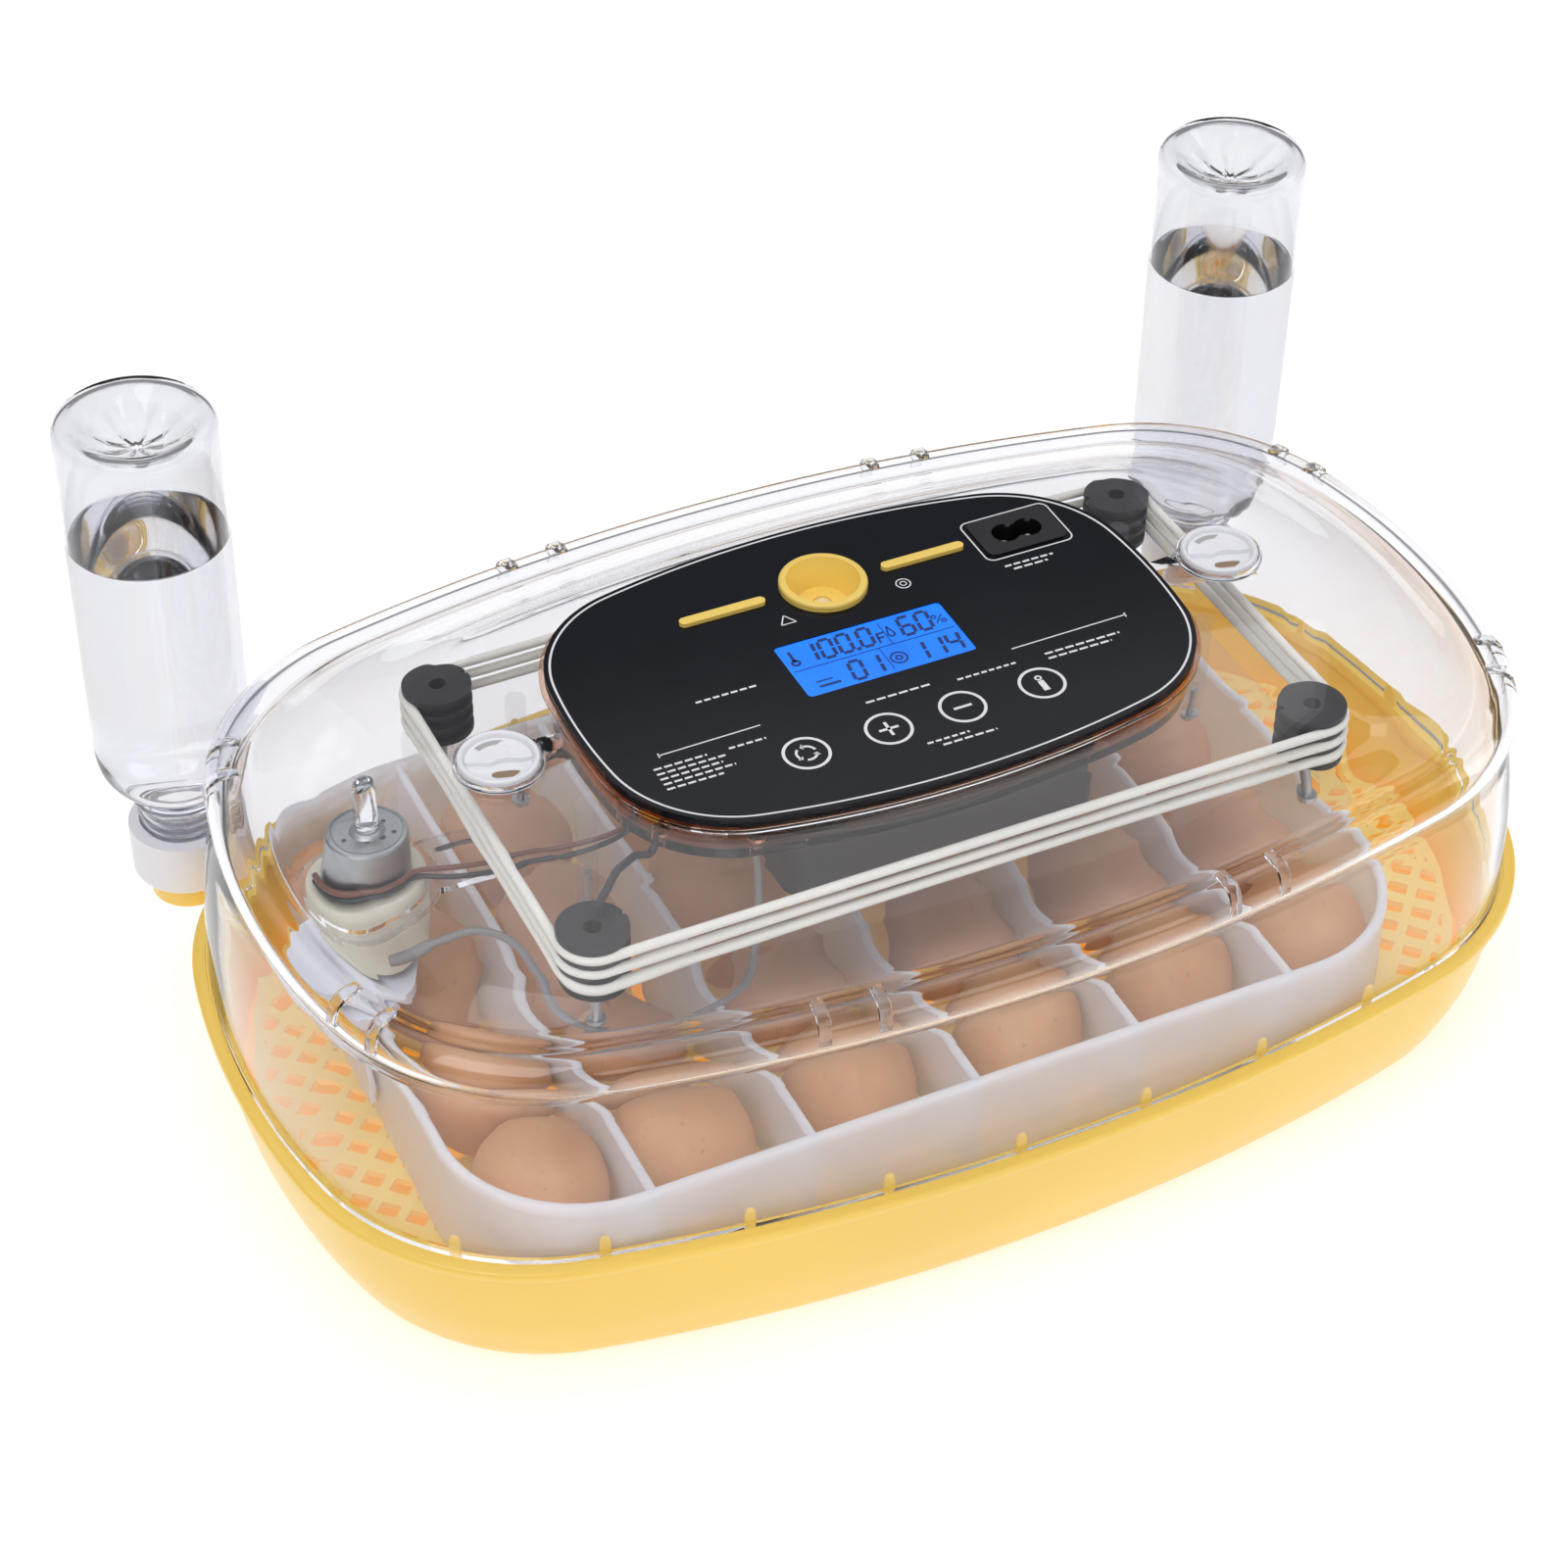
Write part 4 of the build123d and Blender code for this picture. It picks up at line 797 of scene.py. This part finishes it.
def build_display():
    """Dark figures and small pictures on the blue display: readings only."""
    middle = centre_mm("lcd_module")
    top = box_mm("lcd_module")[1].z + 0.02
    x, y = middle.x - 28.2, 2.0
    tall = 8.6
    shapes = number("100.0", x + 6.6, y + 2.2, tall)
    unit = [bar(x + 31.0, y + 2.0, x + 31.0, y + 6.4, 0.7), bar(x + 31.0, y + 6.4, x + 33.4, y + 6.4, 0.7),
            bar(x + 31.0, y + 4.4, x + 33.0, y + 4.4, 0.7)]
    shapes += slanted(unit, y)
    shapes += number("60", x + 39.6, y + 2.2, tall)
    shapes += band(x + 51.6, y + 6.8, 0.75, 0.45, count=10) + band(x + 54.0, y + 4.2, 0.75, 0.45, count=10)
    shapes.append(bar(x + 51.4, y + 3.8, x + 54.4, y + 7.2, 0.45))
    shapes += number("01", x + 16.4, y - 11.0, tall)
    shapes += number("114", x + 37.6, y - 11.0, tall)
    shapes += band(x + 3.4, y + 3.8, 1.2, 0.8, count=14) + [bar(x + 3.4, y + 4.2, x + 3.4, y + 9.6, 1.0)]
    shapes += band(x + 36.2, y + 4.8, 1.1, 0.6, 150, 390, 12)
    shapes += [bar(x + 35.2, y + 5.3, x + 36.2, y + 8.6, 0.5), bar(x + 37.2, y + 5.3, x + 36.2, y + 8.6, 0.5)]
    shapes += band(x + 33.0, y - 6.6, 2.6, 0.6, count=20) + band(x + 33.0, y - 6.6, 1.0, 0.6, count=10)
    shapes += [bar(x + 5.0, y - 9.4, x + 12.0, y - 9.4, 0.9), bar(x + 5.0, y - 7.0, x + 10.4, y - 7.0, 0.5)]
    shapes += [bar(x + 1.0, y, x + 55.4, y, 0.25), bar(x + 29.4, y - 11, x + 29.4, y, 0.25),
               bar(x + 34.4, y, x + 34.4, y + 11, 0.25)]
    figures = flat("display_figures", shapes, top, LCD_DARK, "lid", 0.1)


def build_print():
    """White line print on the control glass: keys, pictures, a rule and blank caption lines, and a white
    strip round the glass's edge that is a painted highlight.
    """
    shapes = []
    for x in KEY_X:
        shapes += band(x, KEY_Y, KEY_RADIUS, 1.0, count=56)
    turn_x, plus_x, minus_x, lamp_x = KEY_X
    for start in (0, 120, 240):
        shapes += band(turn_x, KEY_Y, 3.1, 0.8, start + 10, start + 95, 10)
        tip = radians(start + 108)
        tail = radians(start + 88)
        shapes.append([(turn_x + 3.1 * cos(tip), KEY_Y + 3.1 * sin(tip)),
                       (turn_x + 4.3 * cos(tail), KEY_Y + 4.3 * sin(tail)),
                       (turn_x + 1.9 * cos(tail), KEY_Y + 1.9 * sin(tail))])
    shapes.append(bar(plus_x - 3.2, KEY_Y, plus_x + 3.2, KEY_Y, 1.0))
    shapes.append(bar(plus_x, KEY_Y - 3.2, plus_x, KEY_Y + 3.2, 1.0))
    shapes.append(bar(minus_x - 3.0, KEY_Y, minus_x + 3.0, KEY_Y, 1.0))
    shapes.append(bar(lamp_x, KEY_Y - 3.6, lamp_x, KEY_Y + 1.2, 2.0))
    shapes += band(lamp_x, KEY_Y + 2.6, 0.9, 0.6, count=12)
    shapes.append(bar(-80, -17.0, -47, -16.6, 0.45))
    shapes.append(bar(38, -15.6, 78, -15.1, 0.45))
    for x, y in ((-80, -17.0), (78, -15.1)):
        shapes.append(bar(x - 0.1, y - 1.0, x + 0.1, y + 1.0, 0.45))
    captions = [(-60, 0.8, 20), (-60, -22.6, 12), (-6, -45.0, 14), (46, -22.0, 26), (46, -24.4, 22),
                (56, 22.0, 17), (58, 19.8, 12), (-14, -20.4, 22), (16, -22.0, 20), (-84, -22.4, 17),
                (-84, -24.8, 22), (-84, -27.2, 20), (-84, -29.6, 23), (-84, -32.0, 18), (-2, -47.4, 18)]
    for x, y, length in captions:
        spot, index = x, 0
        while spot < x + length:
            dash = 1.6 + 1.3 * abs(sin(3.1 * index + x))
            shapes.append(bar(spot, y, min(spot + dash, x + length), y, 0.8))
            spot += dash + 0.8
            index += 1
    shapes += band(23, 27.5, 2.3, 0.4, count=24) + band(23, 27.5, 1.0, 0.35, count=14)
    shapes += [bar(-20.5, 24.0, -15.5, 24.0, 0.4), bar(-20.5, 24.0, -18.0, 28.2, 0.4),
               bar(-15.5, 24.0, -18.0, 28.2, 0.4)]
    inlet = centre_mm("power_inlet")
    for sx, sy, start in QUARTERS:
        shapes += band(inlet.x + sx * 12.6, inlet.y + sy * 7.8, 2.8, 0.5, start, start + 90, 6)
    for sy in (-1, 1):
        shapes.append(bar(inlet.x - 12.6, inlet.y + sy * 10.6, inlet.x + 12.6, inlet.y + sy * 10.6, 0.5))
    for sx in (-1, 1):
        shapes.append(bar(inlet.x + sx * 15.4, inlet.y - 7.8, inlet.x + sx * 15.4, inlet.y + 7.8, 0.5))
    printed = flat("panel_print", shapes, PRINT_Z, PRINT, "lid", 0.06)
    # A white strip just inside the glass's edge: painted highlight along the edge.
    outline = oval((PANEL_HALF[0] - 1.3, PANEL_HALF[1] - 1.3), PANEL_CORNER - 1.3)
    edge = oval((PANEL_HALF[0] - 1.9, PANEL_HALF[1] - 1.9), PANEL_CORNER - 1.9)
    strips = []
    for i in range(len(outline)):
        j = (i + 1) % len(outline)
        strips.append([(p[0], p[1] + PANEL_MID.y) for p in (outline[i], outline[j], edge[j], edge[i])])
    line = flat("panel_edge_painted_highlight", strips, PRINT_Z, PRINT, "lid", 0.06)


# --- bottles ------------------------------------------------------------------------------------
def build_bottles():
    """Clear bottles, neck down, with a threaded neck and a folded, dished base; water up to their level."""
    for side in ("left", "right"):
        node = f"bottle_{side}"
        middle = centre_mm(node)
        top = box_mm(node)[1].z
        neck = [(12.8, 45.0), (12.8, 58.8), (13.0, 59.6), (13.9, 60.6), (13.0, 61.6), (13.0, 63.4),
                (13.9, 64.4), (13.0, 65.4), (13.0, 67.2), (13.9, 68.2), (13.0, 69.2), (13.0, 70.6),
                (15.4, 71.0), (15.6, 72.0), (15.4, 73.0), (13.4, 73.4)]
        shoulder = eased([(13.4, 73.6), (15.8, 75.8), (20.6, 79.6), (23.6, 84.4), (24.7, 89.0),
                          (24.95, 94.0)])
        crown = eased([(24.95, top - 7), (24.6, top - 3.4), (23.4, top - 1.0), (21.4, top - 0.1),
                       (19.2, top - 1.0), (14.0, top - 5.6), (8.0, top - 9.2), (2.0, top - 10.2)])
        wall = 0.9
        inside = [(2.0, top - 11.4), (8.0, top - 10.6), (14.4, top - 7.0), (19.4, top - 2.5),
                  (21.6, top - 1.7), (22.8, top - 2.6), (23.8, top - 5.0), (24.0, top - 8)]
        inside += [(r - wall, z) for r, z in shoulder[::-1]] + [(12.2, 71.0), (11.9, 45.0)]

        def folds(radius, z, turn, top=top):
            """Radial folds pressed into the dished base."""
            if z < top - 12.5 or radius > 20.0:
                return 0.0
            return 0.55 * cos(9 * turn) * radius / 20.0 * (1 - radius / 20.0) * 4

        profile = neck + shoulder + crown + inside
        glass = ring_solid(f"bottle_glass_{side}", profile, middle, BOTTLE, f"bottle_{side}", folds)
        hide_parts(node)
        level = box_mm(f"bottle_water_{side}")[1].z
        wet = 0.1
        profile = [(0.3, 45.4), (11.7, 45.4), (12.1, 70.8)] + [(r - wall + wet, z) for r, z in shoulder]
        profile += [(24.1, level + 0.7), (23.8, level + 0.25), (22.8, level - 0.05), (0.3, level - 0.1)]
        water = lathe(f"water_{side}", profile, middle, WATER, f"bottle_{side}", sharp=60.0)
        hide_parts(f"bottle_water_{side}")


def ring_solid(name, profile, centre, finish, body, lift=None):
    """Turned solid whose profile stays clear of the axis; its two open rims are filled."""
    made = loft(name, turned(profile, centre, 108, lift), finish, body, caps=False, sharp=60.0)
    work = bmesh.new()
    work.from_mesh(made.data)
    edges = [e for e in work.edges if e.is_boundary]
    bmesh.ops.holes_fill(work, edges=edges)
    bmesh.ops.recalc_face_normals(work, faces=work.faces)
    work.to_mesh(made.data)
    work.free()
    return made


# --- leads --------------------------------------------------------------------------------------
def build_leads():
    """Two motor leads: round the can, across to the control box and up into it."""
    reach = 13.8
    for name, z, shift, finish in (("lead_brown", 107.2, 0.0, BROWN), ("lead_black", 105.2, -2.2, BLACK)):
        points = [(MOTOR.x + reach * cos(radians(t)), MOTOR.y + reach * sin(radians(t)), z)
                  for t in (170, 190, 215, 240, 265, 290, 315)]
        points += [(-141.0, 4.5 + shift, z), (-130.0, 1.0 + shift, z), (-118.0, 0.0 + shift, z + 0.5),
                   (-103.0, -6.0 + shift, z + 3), (-90.0, -11.0 + shift, 115), (-85.0, -13.5 + shift, 124),
                   (-84.0, -14.0 + shift, 133)]
        lead = cable(name, points, 0.85, finish, "lid")
        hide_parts("motor_leads")


def build_sensor():
    """Grey sensor cable: from its probe by the motor, under the spool and along the guard plate's edge."""
    points = [(-152.0, -11.5, 95.5), (-146.0, -12.4, 96.5), (-137.0, -14.0, 97.0), (-130.0, -22.0, 96.5),
              (-127.6, -36.0, 95.5), (-127.0, -50.0, 95.0), (-122.0, -62.0, 95.0), (-108.0, -69.4, 95.0),
              (-94.0, -70.0, 95.4), (-76.0, -64.0, 95.6), (-67.0, -57.0, 99.0), (-63.0, -50.0, 112.0),
              (-62.0, -46.5, 122.0), (-62.0, -46.0, 131.0)]
    wire = cable("sensor_wire", points, 1.15, GREY, "lid")
    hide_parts("sensor_cable")
    tip = [(-160.5, -9.0, 94.0), (-156.0, -10.4, 94.8), (-151.5, -11.5, 95.5)]
    probe = cable("sensor_tip", tip, 1.45, GREY, "lid")
    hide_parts("sensor_probe")


# --- stage --------------------------------------------------------------------------------------
def build_stage():
    """Wide pale floor just under the object."""
    floor = bpy.data.meshes.new("floor")
    reach = 6.0
    floor.from_pydata([(-reach, -reach, 0), (reach, -reach, 0), (reach, reach, 0), (-reach, reach, 0)], [],
                      [(0, 1, 2, 3)])
    made = bpy.data.objects.new("floor", floor)
    scene.collection.objects.link(made)
    made.location.z = -0.0004
    finish, _, shader = material("floor_pale")
    shader.inputs["Base Color"].default_value = (0.70, 0.70, 0.70, 1.0)
    shader.inputs["Roughness"].default_value = 0.7
    shader.inputs["Specular IOR Level"].default_value = 0.2
    shader.inputs["Emission Color"].default_value = (1.0, 1.0, 1.0, 1.0)
    shader.inputs["Emission Strength"].default_value = 0.52
    floor.materials.append(finish)


def lamp(name, place, aim, size, power):
    data = bpy.data.lights.new(name, "AREA")
    data.shape = "RECTANGLE"
    data.size, data.size_y = size
    data.energy = power
    made = bpy.data.objects.new(name, data)
    scene.collection.objects.link(made)
    made.location = place
    made.rotation_euler = (Vector(aim) - Vector(place)).to_track_quat("-Z", "Y").to_euler()


def build_light():
    """Grey surroundings for the reflections, a pale backdrop past the floor's edge and four soft lamps."""
    world = bpy.data.worlds.new("studio")
    world.use_nodes = True
    tree = world.node_tree
    back = tree.nodes["Background"]
    place = add(tree, "ShaderNodeTexCoord")
    split = add(tree, "ShaderNodeSeparateXYZ")
    tree.links.new(place.outputs["Generated"], split.inputs["Vector"])
    sky = ramp(tree, split.outputs["Z"], [(0.30, (0.34, 0.34, 0.37)), (0.62, (0.44, 0.44, 0.47)),
                                          (0.78, (0.62, 0.62, 0.64)), (1.0, (0.95, 0.95, 0.96))])
    tree.links.new(sky, back.inputs["Color"])
    back.inputs["Strength"].default_value = 0.62
    backdrop = add(tree, "ShaderNodeBackground")
    backdrop.inputs["Color"].default_value = (0.86, 0.86, 0.87, 1.0)
    path = add(tree, "ShaderNodeLightPath")
    share = mixed(tree, back.outputs["Background"], backdrop.outputs["Background"], "World Output")
    tree.links.new(path.outputs["Is Camera Ray"], share)
    scene.world = world
    middle = (0.0, 0.0, 0.08)
    lamp("key", (-1.0, -0.8, 1.7), middle, (1.3, 1.3), 13.0)
    lamp("top", (0.1, 0.6, 2.1), middle, (3.2, 2.6), 19.0)
    lamp("right", (1.4, -0.3, 0.8), middle, (0.5, 1.1), 3.2)
    lamp("front", (0.3, -1.5, 0.7), middle, (1.2, 0.5), 3.0)


def build_camera():
    """Long lens from front left, above the lid."""
    data = bpy.data.cameras.new("camera")
    data.sensor_width = 36.0
    data.lens = 82.96
    data.shift_x = -0.0564
    data.shift_y = -0.0081
    made = bpy.data.objects.new("camera", data)
    scene.collection.objects.link(made)
    turn, lift, roll = radians(28.07), radians(40.06), radians(2.12)
    forward = Vector((sin(turn) * cos(lift), cos(turn) * cos(lift), -sin(lift)))
    right = Vector((cos(turn), -sin(turn), 0.0))
    up = right.cross(forward)
    tilted_right = right * cos(roll) + up * sin(roll)
    tilted_up = up * cos(roll) - right * sin(roll)
    rows = [(tilted_right[i], tilted_up[i], -forward[i]) for i in range(3)]
    made.matrix_world = Matrix.Translation((-0.4055, -0.7603, 0.8245)) @ Matrix(rows).to_4x4()
    scene.camera = made


paint_nodes()
build_stage()
build_light()
build_camera()
build_tub()
build_ribs()
build_lid()
build_clips()
build_motor()
build_vents()
build_tray()
build_eggs()
build_display()
build_print()
build_bottles()
build_leads()
build_sensor()
scene.view_settings.view_transform = "Standard"
scene.cycles.max_bounces = 20
scene.cycles.glossy_bounces = 12
scene.cycles.transmission_bounces = 20
scene.cycles.transparent_max_bounces = 24
